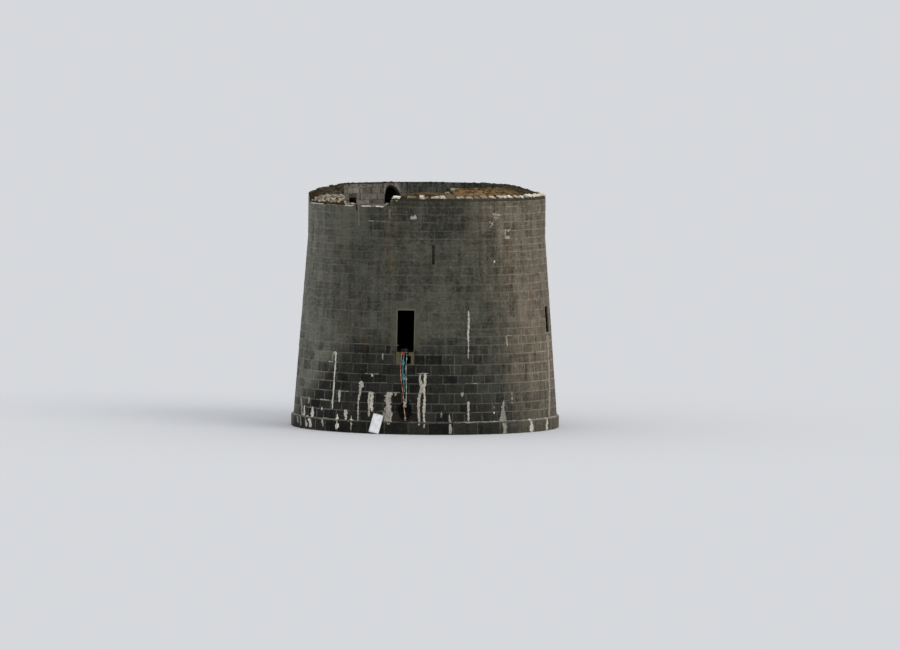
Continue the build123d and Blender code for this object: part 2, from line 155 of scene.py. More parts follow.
class Finish:
    # A material in the making: every node comes from one method
    def __init__(self, name, roughness, specular):
        self.material = bpy.data.materials.new(name)
        self.material.use_nodes = True
        self.tree = self.material.node_tree
        self.tree.nodes.clear()
        self.surface = self.tree.nodes.new("ShaderNodeBsdfPrincipled")
        self.surface.inputs["Roughness"].default_value = roughness
        self.surface.inputs["Specular IOR Level"].default_value = specular
        result = self.tree.nodes.new("ShaderNodeOutputMaterial")
        self.tree.links.new(self.surface.outputs[0], result.inputs["Surface"])
        self.place = self.node("ShaderNodeNewGeometry", output="Position")

    def node(self, kind, settings=None, sockets=None, output=0):
        made = self.tree.nodes.new(kind)
        for name, value in (settings or {}).items():
            setattr(made, name, value)
        for key, value in (sockets or {}).items():
            self.feed(made.inputs[key], value)
        return Wire(self, made.outputs[output])

    def feed(self, socket, value):
        if isinstance(value, Wire):
            self.tree.links.new(value.socket, socket)
        else:
            socket.default_value = value

    def vector(self, operation, first, second, output=0):
        return self.node("ShaderNodeVectorMath", {"operation": operation}, {0: first, 1: second}, output)

    def axis(self, index, where=None):
        return self.node("ShaderNodeSeparateXYZ", None, {0: where or self.place}, index)

    def flat(self):
        return self.vector("MULTIPLY", self.place, (1.0, 1.0, 0.0))

    def distance(self, where, spot):
        return self.vector("DISTANCE", where, spot, "Value")

    def reach(self):
        # Distance from the tower's axis
        return self.distance(self.flat(), (0.0, 0.0, 0.0))

    def noise(self, scale, detail=4.0, roughness=0.55, stretch=None):
        where = self.vector("MULTIPLY", self.place, stretch) if stretch else self.place
        sockets = {"Vector": where, "Scale": scale, "Detail": detail, "Roughness": roughness}
        return self.node("ShaderNodeTexNoise", None, sockets)

    def ramp(self, value, low, high, start=0.0):
        # 0 at low and 1 at high, eased at both ends; low and high count from start
        settings = {"interpolation_type": "SMOOTHSTEP"}
        return self.node("ShaderNodeMapRange", settings, {0: value, 1: start + low, 2: start + high})

    def attribute(self, name):
        return self.node("ShaderNodeAttribute", {"attribute_name": name}, output="Fac")

    def mix(self, share, first, second):
        return self.node("ShaderNodeMix", {"data_type": "RGBA"}, {0: share, 6: first, 7: second}, 2)

    def paint(self, colour, height=None, depth=0.01, roughness=None):
        self.feed(self.surface.inputs["Base Color"], colour)
        if roughness is not None:
            self.feed(self.surface.inputs["Roughness"], roughness)
        if height is not None:
            sockets = {"Height": height, "Distance": depth, "Strength": 1.0}
            self.feed(self.surface.inputs["Normal"], self.node("ShaderNodeBump", None, sockets))
        return self.material


def contrast(value, weight):
    return weight * (value - 0.5)


def lightOf(*parts):
    # How light a spot is, from 0 to 1: each part is a value and how much it counts
    light = 0.5
    for value, weight in parts:
        light = light + contrast(value, weight)
    return light.clamped()


# Finishes

# pairs of tones are dark and light, or clean and grimy; pairs of places are a change's start and its end
shade = tone(10, 10, 9)  # what no light reaches

# painted shade in the stair mouth, stair inside, niche and crack, and a rusty patch: across, along, radius,
# and the level where each starts to close
pockets = {
    "stairMouth": (-2.387, 2.719, 1.0, 11.33), "stairInside": (-2.95, 2.9, 1.3, 11.6),
    "niche": (-4.12, 0.22, 0.5, 11.3), "crack": (-2.745, -5.48, 0.2, 12.5),
    "rust": (-3.08, -5.29, 0.18, 12.5),
}
pocketFade = 0.1
bedCrackLook = {
    "heading": 9.2, "wander": 0.3, "wide": (0.055, 0.04), "along": (-2.6, -2.8), "level": (11.3, 11.4),
}


def pocket(finish, name):
    # 1 inside a small recess with a round head
    across, along, radius, spring = pockets[name]
    level = finish.axis(2).atLeast(spring)
    spot = finish.node("ShaderNodeCombineXYZ", None, {0: finish.axis(0), 1: finish.axis(1), 2: level})
    return finish.ramp(finish.distance(spot, (across, along, spring)), 0.0, -pocketFade, radius)


def bedCrack(finish):
    # 1 in the crack that runs back from the wall's face over the bed of the breach, where painted shade goes
    across, along, *_ = pockets["crack"]
    turn = math.radians(bedCrackLook["heading"])
    away = (finish.axis(0) - across) * math.cos(turn) + (finish.axis(1) - along) * math.sin(turn)
    away = abs(away + contrast(finish.noise(1.3, 3), bedCrackLook["wander"]))
    bed = finish.ramp(finish.axis(1), *bedCrackLook["along"])
    bed = bed * finish.ramp(finish.axis(2), *bedCrackLook["level"])
    return finish.ramp(away, *bedCrackLook["wide"]) * bed


def openingShadeMask(finish):
    # 0 on the outer face, 1 a hand's breadth into an opening, where painted shade goes
    face = neckRadius + batter * (neckLevel - finish.axis(2)).atLeast(0.0)
    return finish.ramp(face - finish.reach(), 0.02, 0.09)


wallTones = {
    "upper": (tone(40, 41, 34), tone(84, 84, 73)), "left": (tone(66, 67, 59), tone(124, 124, 112)),
    "lower": (tone(13, 14, 12), tone(45, 45, 40)), "warm": (tone(64, 58, 49), tone(124, 114, 98)),
    "ochre": tone(104, 84, 56), "trickle": tone(98, 76, 48), "rust": tone(142, 104, 80),
    "speck": tone(128, 125, 112), "jointUpper": tone(104, 101, 88), "jointLower": tone(92, 90, 80),
    "jointWarm": tone(152, 142, 124), "jointLeft": tone(142, 140, 126),
}
wallPlaces = {
    # up the wall
    "charred": (5.7, 3.7), "high": (9.3, 10.3), "rubbedFoot": (4.3, 5.2), "rubbedHead": (8.2, 6.8),
    "coolFoot": (2.9, 1.4), "rust": (11.08, 11.4), "crack": (11.2, 11.3), "parapetBed": (7.6, 8.2),
    "turning": 3.2,
    # across it
    "cleanAndLitRight": (1.8, 5.4), "washedLeft": (-4.3, -3.4), "washedRight": (-1.7, -2.5),
    "dullLeft": (-2.2, -1.2), "dullRight": (3.4, 2.2), "rubbedSides": (3.0, 1.2), "warm": (4.9, 7.2),
    "leftward": (-2.6, -6.3), "footward": (-3.7, -5.1), "leftJoints": (-2.6, -5.0), "darkJoints": (2.0, 4.4),
}


def wallStone(finish, stone=0.5):
    # Colour and relief of the weathered wall, whose tint goes by height and by side; the lighter, warmer
    # right side is partly cleaner stone and partly painted light from the right
    at, across, level = wallPlaces, finish.axis(0), finish.axis(2)
    patch = finish.noise(0.3, 3)
    blotch = finish.noise(1.6, 4, 0.6)
    streak = finish.noise(1.0, 5, 0.65, (3.2, 3.2, 0.22))
    grain = finish.noise(8.0, 7, 0.75)
    scratch = finish.noise(1.0, 4, 0.6, (1.6, 1.6, 9.0))
    past = level - at["turning"]
    low = finish.ramp(level + contrast(patch, 3.0) + contrast(streak, 1.6), *at["charred"])
    # the dark foot thins out on the right: partly cleaner stone, partly painted light
    char = low * (1.0 - 0.85 * finish.ramp(across + 0.6 * past, *at["cleanAndLitRight"]))
    high = finish.ramp(level, *at["high"])
    washed = high * finish.ramp(across, *at["washedLeft"]) * finish.ramp(across, *at["washedRight"])
    dull = high * finish.ramp(across, *at["dullLeft"]) * finish.ramp(across, *at["dullRight"])
    rubbed = finish.ramp(level, *at["rubbedFoot"]) * finish.ramp(level, *at["rubbedHead"])
    rubbed = rubbed * finish.ramp(abs(across), *at["rubbedSides"])
    light = 0.5 + contrast(stone, 0.26 + 0.5 * char) + contrast(streak, 1.4) + contrast(grain, 2.4)
    light = light + contrast(scratch, 0.9) + contrast(blotch, 0.9) + contrast(patch, 0.5)
    light = (light + 0.48 * washed - 0.19 * dull + 0.13 * rubbed).clamped()
    # warmer and lighter toward the right: partly the stone's tint, partly painted light falling from the
    # right
    warmth = finish.ramp(across + 0.2 * level + contrast(patch, 0.9) + contrast(streak, 0.9), *at["warm"])
    warmth = warmth * (1.0 - 0.4 * finish.ramp(level, *at["coolFoot"]))
    leftward = finish.ramp(across + contrast(blotch, 1.2), *at["leftward"])
    footward = finish.ramp(across - 0.8 * past + contrast(blotch, 1.2), *at["footward"])
    left = finish.mix(light, *wallTones["left"])
    upper = finish.mix(leftward, finish.mix(light, *wallTones["upper"]), left)
    lower = finish.mix(footward * 0.8, finish.mix(light, *wallTones["lower"]), left)
    colour = finish.mix(char, upper, lower)
    colour = finish.mix(warmth, colour, finish.mix(light, *wallTones["warm"]))
    stain = finish.ramp(finish.noise(0.8, 6, 0.75, (1.3, 1.3, 0.5)), 0.56, 0.74)
    colour = finish.mix(stain * (0.35 - 0.2 * char), colour, wallTones["ochre"])
    trickle = finish.ramp(finish.noise(1.0, 4, 0.6, (2.6, 2.6, 0.16)), 0.56, 0.7)
    trickle = trickle * finish.ramp(grain, 0.3, 0.6) * (0.42 - 0.4 * char)
    colour = finish.mix(trickle, colour, wallTones["trickle"])
    speck = finish.ramp(finish.noise(8.0, 2, 0.5), 0.7, 0.76)
    colour = finish.mix(speck * 0.3, colour, wallTones["speck"])
    return {"colour": colour, "relief": grain + 0.6 * streak, "low": low, "warmth": warmth}


def ashlarFinish():
    finish = Finish("ashlar_stone", roughness=0.92, specular=0.2)
    wall = wallStone(finish, finish.attribute("tone"))
    across, low, warmth = finish.axis(0), wall["low"], wall["warmth"]
    bleed = finish.noise(1.3, 5, 0.7)
    line = finish.ramp(finish.attribute("edge") + contrast(bleed, 0.5), 0.62, 0.12)
    joint = finish.mix(low, wallTones["jointUpper"], wallTones["jointLower"])
    # paler joints on the warm right side, which carries painted light as well as the stone's tint
    joint = finish.mix(warmth, joint, wallTones["jointWarm"])
    joint = finish.mix(finish.ramp(across, *wallPlaces["leftJoints"]), joint, wallTones["jointLeft"])
    broken = finish.ramp(finish.noise(0.9, 5, 0.7) + 0.12 * low + 0.12 * warmth, 0.46, 0.68)
    gap = finish.ramp(finish.noise(3.2, 4, 0.7), 0.36, 0.58)
    clear = 0.3 * low * finish.ramp(across, *wallPlaces["darkJoints"])
    clear = 0.12 + clear + (0.25 + 0.42 * broken) * gap
    colour = finish.mix(line * clear, wall["colour"], joint)
    rust = pocket(finish, "rust") * finish.ramp(finish.axis(2), *wallPlaces["rust"])
    colour = finish.mix(rust * finish.ramp(bleed, 0.3, 0.65) * 0.8, colour, wallTones["rust"])
    return finish.paint(colour, wall["relief"], 0.008)


def mortarColour(finish):
    # The wall's own solids, seen in the joints and inside the openings, with painted shade inside the
    # openings and in the crack
    wall = wallStone(finish)
    level = finish.axis(2)
    fine = finish.noise(22.0, 4)
    joint = finish.mix(fine, wallTones["jointUpper"], wallTones["speck"])
    colour = finish.mix(0.25 + 0.2 * wall["low"], wall["colour"], joint)
    # painted shade inside the openings, less of it up at the parapet's bed, and in the crack
    deep = openingShadeMask(finish) * (1.0 - 0.6 * finish.ramp(level, *wallPlaces["parapetBed"]))
    colour = finish.mix(deep, colour, shade)
    crack = pocket(finish, "crack") * finish.ramp(level, *wallPlaces["crack"])
    return finish.mix(crack, colour, shade), fine


def mortarFinish():
    finish = Finish("lime_mortar", roughness=1.0, specular=0.01)
    colour, fine = mortarColour(finish)
    return finish.paint(colour, fine, 0.006)


dressedLook = {
    "smooth": (tone(56, 56, 47), tone(98, 97, 84)), "arris": tone(118, 115, 100),
    "darkMiddle": tone(18, 17, 15), "dirt": (tone(64, 60, 44), tone(110, 104, 78)),
    # past the opening's side
    "arrisWide": (0.055, 0.03), "sillWide": (0.0, -0.03),
    # above the sill
    "arrisFoot": (0.0, 0.4), "stain": (0.12, 0.0), "sillFoot": (-0.125, -0.1), "sillHead": (0.2, 0.1),
    # above the opening's head, and out from the middle
    "arrisHead": (0.08, 0.05), "darkMiddleWide": (0.14, 0.24),
}


def dressedFinish():
    # Smooth stone round the door: its arris is paler, its apron darker in the middle under the sill, and
    # painted shade darkens its inner sides and the foot of the opening
    finish = Finish("door_surround_stone", roughness=1.0, specular=0.01)
    look, level, offside = dressedLook, finish.axis(2), abs(finish.axis(0))
    patch = finish.noise(1.4, 4, 0.6)
    grain = finish.noise(9.0, 6, 0.7)
    smooth = finish.mix(lightOf((grain, 1.3), (patch, 0.8)), *look["smooth"])
    colour = finish.mix(0.6, wallStone(finish)["colour"], smooth)
    arris = finish.ramp(offside, *look["arrisWide"], doorHalf)
    arris = arris * finish.ramp(level, *look["arrisFoot"], sillLevel)
    arris = arris * finish.ramp(level, *look["arrisHead"], headLevel)
    colour = finish.mix(arris * (0.2 + 0.6 * patch), colour, look["arris"])
    stain = finish.ramp(level + 0.25 * patch, *look["stain"], sillLevel)
    dirt = finish.mix(finish.ramp(offside, *look["darkMiddleWide"]), look["darkMiddle"], finish.mix(grain, *look["dirt"]))
    colour = finish.mix(stain * 0.9, colour, dirt)
    # painted shade across the opening's width, from just under the sill to just above it, so that the dark of
    # the doorway reaches lower
    sill = finish.ramp(level, *look["sillFoot"], sillLevel)
    sill = sill * finish.ramp(offside, *look["sillWide"], doorHalf)
    colour = finish.mix(sill * finish.ramp(level, *look["sillHead"], sillLevel), colour, shade)
    # painted shade on the inner sides of the opening
    colour = finish.mix(openingShadeMask(finish), colour, shade)
    return finish.paint(colour, grain, 0.004)


innerLook = {
    "washed": (tone(72, 68, 60), tone(156, 150, 139)), "darkSide": (tone(22, 23, 20), tone(102, 103, 95)),
    "darkSideSpan": (-2.1, -1.5), "behindLobe": (0.02, 0.1), "outside": (5.5, 5.8),
}


def innerColour(finish):
    # Inner masonry of the gun platform: limewashed toward the breach and painted lighter there as the lit
    # side, with painted shade toward the right and in the stair recess and niche
    grain = finish.noise(9.0, 6, 0.65)
    patch = finish.noise(0.8, 4, 0.6)
    streak = finish.noise(1.0, 5, 0.65, (4.0, 4.0, 0.3))
    light = lightOf((grain, 1.2), (streak, 1.8), (finish.attribute("tone"), 0.3))
    # painted shade over the right-hand part, which faces away from the light
    side = finish.ramp(finish.axis(0) + contrast(patch, 0.7), *innerLook["darkSideSpan"])
    colour = finish.mix(side, finish.mix(light, *innerLook["washed"]), finish.mix(light, *innerLook["darkSide"]))
    behind = finish.distance(finish.flat(), (0.0, lobeShift, 0.0))
    # painted shade in the stair recess, its mouth and the niche
    dark = pocket(finish, "stairInside") * finish.ramp(behind, *innerLook["behindLobe"], lobeRadius)
    dark = dark.atLeast(pocket(finish, "stairMouth")).atLeast(pocket(finish, "niche"))
    return finish.mix(dark * 0.97, colour, shade), grain


def innerFinish():
    finish = Finish("inner_parapet_stone", roughness=0.94, specular=0.15)
    colour, grain = innerColour(finish)
    return finish.paint(colour, grain, 0.012)


def parapetFinish():
    # The parapet's own solids: mortar outside, rough masonry inside
    finish = Finish("parapet_masonry", roughness=0.95, specular=0.12)
    inner, grain = innerColour(finish)
    outside = finish.ramp(finish.reach(), *innerLook["outside"])
    colour = finish.mix(outside, inner, mortarColour(finish)[0])
    # painted shade in the crack over the breach's bed
    return finish.paint(finish.mix(bedCrack(finish), colour, shade), grain, 0.01)


roomLook = {
    "stone": (tone(38, 37, 34), tone(66, 64, 58)), "joint": tone(70, 66, 56),
    "course": 0.34, "jointFoot": (0.0, 0.08), "jointHead": (1.0, 0.92),
}


def roomFinish():
    # Masonry that is only looked at through an opening: its courses are in the finish
    finish = Finish("room_stone", roughness=0.95, specular=0.15)
    grain = finish.noise(7.0, 6, 0.65)
    patch = finish.noise(0.9, 4)
    wave = (finish.axis(2) * (1 / roomLook["course"]) + 0.1 * grain).fraction()
    stone = finish.ramp(wave, *roomLook["jointFoot"]) * finish.ramp(wave, *roomLook["jointHead"])
    colour = finish.mix((0.5 * grain + 0.5 * patch).clamped(), *roomLook["stone"])
    colour = finish.mix(stone, roomLook["joint"], colour)
    return finish.paint(colour, stone + 0.6 * grain, 0.02)


soilLook = {
    "front": (tone(30, 23, 14), tone(138, 112, 74)), "rear": (tone(16, 15, 10), tone(66, 60, 40)),
    "wornFront": (tone(32, 26, 18), tone(114, 88, 62)), "wornBank": (tone(26, 24, 18), tone(84, 70, 50)),
    "leftBank": (tone(27, 27, 21), tone(98, 84, 58)), "masonry": tone(44, 43, 36),
    "darkSide": tone(30, 26, 19), "lip": tone(26, 22, 15), "rearward": (-3.4, -0.6), "darkSideSpan": (3.4, 1.4),
    "steep": (0.6, 0.35), "outside": (5.2, 5.8), "leftSide": (-3.2, -3.7), "leftRear": (-0.7, -1.0),
    "outerLip": (5.45, 5.75),
}


def soilGround(finish, front, bank):
    # Dry earth and roots, ochre in front and turned nearly black toward the rear by painted shade, a little
    # darker away from the right, and how its steep parts look
    clump = finish.noise(2.6, 5, 0.7)
    fine = finish.noise(9.0, 7, 0.85)
    patch = finish.noise(0.55, 3)
    light = lightOf((clump, 4.2), (fine, 4.2), (patch, 1.4))
    # painted shade: the far crest turns nearly black
    rear = finish.ramp(finish.axis(1) + contrast(patch, 3.0) + contrast(clump, 1.0), *soilLook["rearward"])
    colour = finish.mix(rear, finish.mix(light, *front), finish.mix(light, *soilLook["rear"]))
    # a little darker except toward the right
    darkSide = finish.ramp(finish.axis(0) + contrast(patch, 1.5), *soilLook["darkSideSpan"])
    facing = finish.node("ShaderNodeNewGeometry", output="Normal")
    return {
        "colour": finish.mix(darkSide * 0.4, colour, soilLook["darkSide"]), "bank": finish.mix(light, *bank),
        "steep": finish.ramp(finish.axis(2, facing), *soilLook["steep"]), "relief": fine + 0.5 * clump,
    }


def soilFinish():
    # Where it is steep, the masonry under it shows
    finish = Finish("parapet_soil", roughness=1.0, specular=0.05)
    ground = soilGround(finish, soilLook["front"], soilLook["leftBank"])
    reach = finish.reach()
    inner = finish.mix(0.6, innerColour(finish)[0], soilLook["masonry"])
    broken = finish.mix(finish.ramp(reach, *soilLook["outside"]), inner, mortarColour(finish)[0])
    left = finish.ramp(finish.axis(0), *soilLook["leftSide"])
    left = left * finish.ramp(finish.axis(1), *soilLook["leftRear"])
    broken = finish.mix(left, broken, ground["bank"])
    colour = finish.mix(ground["steep"], ground["colour"], broken)
    colour = finish.mix(finish.ramp(reach, *soilLook["outerLip"]) * 0.6, colour, soilLook["lip"])
    return finish.paint(colour, ground["relief"], 0.02)


def wornSoilFinish():
    finish = Finish("worn_soil", roughness=1.0, specular=0.05)
    ground = soilGround(finish, soilLook["wornFront"], soilLook["wornBank"])
    return finish.paint(finish.mix(ground["steep"], ground["colour"], ground["bank"]), ground["relief"], 0.02)


paleLitLook = {
    "stone": (tone(98, 88, 70), tone(250, 243, 226)), "lichen": tone(104, 92, 64), "moss": tone(58, 50, 36),
    "edge": tone(92, 82, 60), "right": (2.6, 4.4), "overDoor": (0.9, 0.2), "front": (-4.6, -5.4),
    "mossSide": (-4.4, -5.4),
}


def paleLitFinish():
    finish = Finish("pale_stone_with_painted_light", roughness=0.93, specular=0.2)
    look, across = paleLitLook, finish.axis(0)
    grain = finish.noise(12.0, 6, 0.7)
    patch = finish.noise(1.7, 4, 0.6)
    # painted highlight: the coping turns much paler toward the right, where the light falls, with less lichen
    # there
    right = finish.ramp(across, *look["right"])
    near = finish.ramp(across, *look["overDoor"]) * finish.ramp(finish.axis(1), *look["front"])
    light = 0.06 + 0.8 * right + 0.45 * near + contrast(grain, 2.8) + contrast(finish.attribute("tone"), 1.0)
    colour = finish.mix(light.clamped(), *look["stone"])
    lichen = finish.ramp(patch + 0.3 * grain, 0.6, 0.74) * (1.0 - 0.7 * right)
    colour = finish.mix(lichen, colour, look["lichen"])
    mossy = finish.ramp(across + contrast(patch, 1.4), *look["mossSide"])
    colour = finish.mix(mossy * 0.9, colour, look["moss"])
    edge = finish.ramp(finish.attribute("edge") + contrast(grain, 0.6), 0.4, 0.0)
    colour = finish.mix(edge * 0.45, colour, look["edge"])
    return finish.paint(colour, grain, 0.012)


rubbleTones = (tone(46, 42, 32), tone(184, 174, 152))


def rubbleFinish():
    finish = Finish("rubble_stone", roughness=0.95, specular=0.15)
    grain = finish.noise(14.0, 6, 0.75)
    light = (finish.attribute("tone") + contrast(grain, 0.9)).clamped()
    return finish.paint(finish.mix(light, *rubbleTones), grain, 0.01)


limeTones = (tone(102, 94, 84), tone(238, 232, 216))


def limeFinish():
    # Lime crust that thins out over the stone at its ragged edges
    finish = Finish("lime_crust", roughness=0.88, specular=0.25)
    streak = finish.noise(1.0, 5, 0.75, (19.0, 19.0, 1.2))
    crumb = finish.noise(9.0, 5, 0.75)
    body = finish.attribute("tone")
    cover = finish.attribute("edge") + contrast(streak, 1.6) + contrast(crumb, 1.4)
    cover = cover + contrast(body, 0.3) + 0.14
    crust = finish.mix(lightOf((streak, 2.2), (crumb, 1.6), (body, 0.6)), *limeTones)
    solid = finish.ramp(cover, 0.2, 0.65) * (0.2 + 0.86 * body).clamped()
    return finish.paint(finish.mix(solid, wallStone(finish)["colour"], crust), crumb + streak, 0.006)


flagLook = {"stone": (tone(64, 62, 55), tone(118, 114, 102)), "silt": tone(84, 74, 48)}


def flagFinish():
    finish = Finish("platform_flags", roughness=0.93, specular=0.2)
    grain = finish.noise(11.0, 6, 0.65)
    patch = finish.noise(0.7, 4, 0.6)
    colour = finish.mix((0.45 * grain + 0.55 * finish.attribute("tone")).clamped(), *flagLook["stone"])
    colour = finish.mix(finish.ramp(patch, 0.52, 0.66) * 0.7, colour, flagLook["silt"])
    # painted shade in the crack over the breach's bed
    return finish.paint(finish.mix(bedCrack(finish), colour, shade), grain, 0.01)


timberLook = {"grain": (tone(46, 38, 30), tone(112, 98, 80)), "weathered": tone(72, 70, 66)}


def timberFinish():
    finish = Finish("old_timber", roughness=0.95, specular=0.02)
    grain = finish.noise(1.0, 5, 0.6, (1.2, 16.0, 16.0))
    patch = finish.noise(1.5, 3)
    colour = finish.mix(patch * 0.4, finish.mix(grain, *timberLook["grain"]), timberLook["weathered"])
    return finish.paint(colour, grain, 0.004)


ropeTones = {
    "red": (tone(112, 58, 48), tone(214, 148, 126)), "bundle": (tone(128, 44, 40), tone(206, 92, 82)),
    "blue": (tone(76, 100, 104), tone(90, 160, 172)), "pale": (tone(84, 100, 82), tone(204, 212, 190)),
    "overSill": (-0.13, -0.09),
}


def ropeFinish(name):
    # Faded in patches, and in the shade where it lies over the sill
    finish = Finish(f"{name}_rope_fibre", roughness=0.8, specular=0.2)
    fibre = finish.noise(160.0, 3)
    faded = finish.noise(7.0, 5, 0.7)
    colour = finish.mix(lightOf((fibre, 0.8), (faded, 5.0)), *ropeTones[name])
    hidden = finish.ramp(finish.axis(2), *ropeTones["overSill"], sillLevel)
    return finish.paint(finish.mix(hidden * 0.96, colour, shade), fibre, 0.002)


rubberTones = (tone(5, 6, 5), tone(17, 18, 16))


def rubberFinish():
    finish = Finish("worn_rubber", roughness=0.9, specular=0.06)
    dust = finish.noise(5.0, 5, 0.6)
    fine = finish.noise(60.0, 3)
    colour = finish.mix(finish.ramp(dust, 0.4, 0.75), *rubberTones)
    return finish.paint(colour, fine, 0.001, roughness=0.8 + 0.15 * dust)


boardTones = {"paint": (tone(240, 242, 246), tone(206, 206, 204)), "dirt": tone(112, 106, 92)}


def boardFinish():
    finish = Finish("board_white_paint", roughness=0.55, specular=0.4)
    grime = finish.noise(2.6, 5, 0.65)
    fine = finish.noise(26.0, 4)
    colour = finish.mix(finish.ramp(grime, 0.35, 0.75), *boardTones["paint"])
    dirt = finish.ramp(finish.attribute("edge") + contrast(grime, 0.5), 0.35, 0.0)
    colour = finish.mix(dirt * 0.8, colour, boardTones["dirt"])
    return finish.paint(colour, fine, 0.0006, roughness=0.45 + 0.4 * grime)


ashlar, mortar, dressed = ashlarFinish(), mortarFinish(), dressedFinish()
innerStone, parapetMass, roomStone = innerFinish(), parapetFinish(), roomFinish()
soil, wornSoil = soilFinish(), wornSoilFinish()
paleLitStone, rubble, lime, flags = paleLitFinish(), rubbleFinish(), limeFinish(), flagFinish()
timber, rubber, paintedBoard = timberFinish(), rubberFinish(), boardFinish()
redFibre, bundleFibre, blueFibre, paleFibre = (ropeFinish(name) for name in ("red", "bundle", "blue", "pale"))
print("finishes made")


# Making pieces

def makePiece(name, vertices, faces, finish, slot, attributes=None, replaced=(), smoothUpTo=38):
    mesh = bpy.data.meshes.new(name)
    mesh.from_pydata([tuple(point) for point in vertices], [], faces)
    for title, values in (attributes or {}).items():
        layer = mesh.attributes.new(title, "FLOAT", "POINT")
        layer.data.foreach_set("value", np.asarray(values, np.float32))
    work = bmesh.new()
    work.from_mesh(mesh)
    bmesh.ops.recalc_face_normals(work, faces=work.faces)
    work.to_mesh(mesh)
    work.free()
    mesh.polygons.foreach_set("use_smooth", [True] * len(mesh.polygons))
    mesh.set_sharp_from_angle(angle=math.radians(smoothUpTo))
    piece = bpy.data.objects.new(name, mesh)
    bpy.context.scene.collection.objects.link(piece)
    mesh.materials.append(finish)
    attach(piece, "root")
    if replaced:
        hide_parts(*replaced)
    print(name, "has", len(mesh.polygons), "faces")
    return piece


def gridFaces(rows, cols, start=0):
    corners = [start + row * cols + col for row in range(rows - 1) for col in range(cols - 1)]
    return [(a, a + 1, a + cols + 1, a + cols) for a in corners]


def rimLoop(rows, cols):
    # Once round the edge of a grid of points
    loop = list(range(cols)) + [row * cols + cols - 1 for row in range(1, rows)]
    loop += [(rows - 1) * cols + col for col in range(cols - 2, -1, -1)]
    return loop + [row * cols for row in range(rows - 2, 0, -1)]


def ringFaces(start, rings, size, closed=False):
    # Faces along rings of points: a tube with an end cap each side, or one that closes on itself
    total, faces = rings * size, []
    for ring in range(rings if closed else rings - 1):
        for index in range(size):
            a, b = ring * size + index, ring * size + (index + 1) % size
            faces.append(tuple(start + corner % total for corner in (a, b, b + size, a + size)))
    if not closed:
        faces.append(tuple(range(start, start + size)))
        faces.append(tuple(range(start + total - size, start + total)))
    return faces


wallLook = {
    "joint": 0.010, "proud": 0.010, "bevel": 0.012, "halo": 0.045, "sunk": -0.03, "sideWobble": 0.0,
    "relief": 0.003, "wobble": 0.004, "lift": 0.003, "rounding": 0.006, "uprightFade": 0.12,
}
bevelShare, haloShare = 0.15, 0.34  # the most of a small stone's side that each may take
bevelTone = 0.15  # what a bevel counts in "edge", where a joint is 0 and a stone's face is 1


def spread(low, high, look):
    # Where a stone's rings cut its side: arris, bevel, halo, middle and back again
    side = high - low
    joint = look["joint"] / 2
    bevel = joint + np.minimum(look["bevel"], bevelShare * side)
    halo = joint + np.minimum(look["halo"], haloShare * side)
    return np.stack([low + joint, low + bevel, low + halo, (low + high) / 2,
                     high - halo, high - bevel, high - joint], -1)


def stoneGrid(rects, place, look, seed, rowsAt=spread):
    # Closed blocks over rectangles (u0, u1, v0, v1), each with a bevelled, slightly uneven face
    rects = np.asarray(rects, float)
    rng = np.random.default_rng(seed)
    count = len(rects)
    across = spread(rects[:, 0], rects[:, 1], look)
    up = rowsAt(rects[:, 2], rects[:, 3], look)
    cols, rows = across.shape[1], up.shape[1]
    u = np.broadcast_to(across[:, None, :], (count, rows, cols)).copy()
    v = np.broadcast_to(up[:, :, None], (count, rows, cols)).copy()
    ringRow = np.minimum(np.arange(rows), rows - 1 - np.arange(rows))
    ringCol = np.minimum(np.arange(cols), cols - 1 - np.arange(cols))
    ring = np.minimum(ringRow[:, None], ringCol[None, :])
    outer = ring == 0
    u += rng.normal(0, look["wobble"], u.shape) * outer
    v += rng.normal(0, look["wobble"], v.shape) * outer
    depth = look["proud"] + rng.normal(0, look["relief"], u.shape) * (ring > 0)
    depth = depth - look["rounding"] * outer + rng.uniform(-1, 1, (count, 1, 1)) * look["lift"]
    front = place(u, v, depth).reshape(count, rows * cols, 3)
    loop = rimLoop(rows, cols)
    rimU, rimV = u.reshape(count, -1)[:, loop], v.reshape(count, -1)[:, loop]
    rimU = rimU + rng.normal(0, look["sideWobble"], rimU.shape)
    rimV = rimV + rng.normal(0, look["sideWobble"], rimV.shape)
    vertices = np.concatenate([front, place(rimU, rimV, np.full(rimU.shape, look["sunk"]))], 1)
    back = [rows * cols + index for index in range(len(loop))]
    faces = gridFaces(rows, cols)
    faces += [(loop[i], loop[i - 1], back[i - 1], back[i]) for i in range(len(loop))]
    faces.append(tuple(reversed(back)))
    fade = look["uprightFade"] * (ringCol[None, :] < ringRow[:, None])
    edge = np.where(ring <= 1, bevelTone * ring + fade, 1.0).ravel()
    size = vertices.shape[1]
    edges = np.tile(np.concatenate([edge, np.zeros(len(back))]), count)
    tones = np.repeat(rng.uniform(0, 1, count), size)
    allFaces = [tuple(index + block * size for index in face) for block in range(count) for face in faces]
    return vertices.reshape(-1, 3), allFaces, {"tone": tones, "edge": edges}


def layStones(name, rects, place, look, seed, finish, slot, rowsAt=spread):
    vertices, faces, attributes = stoneGrid(rects, place, look, seed, rowsAt)
    makePiece(name, vertices, faces, finish, slot, attributes)


leastWide, leastHigh = 0.07, 0.05  # a cut stone narrower or lower than this is left out


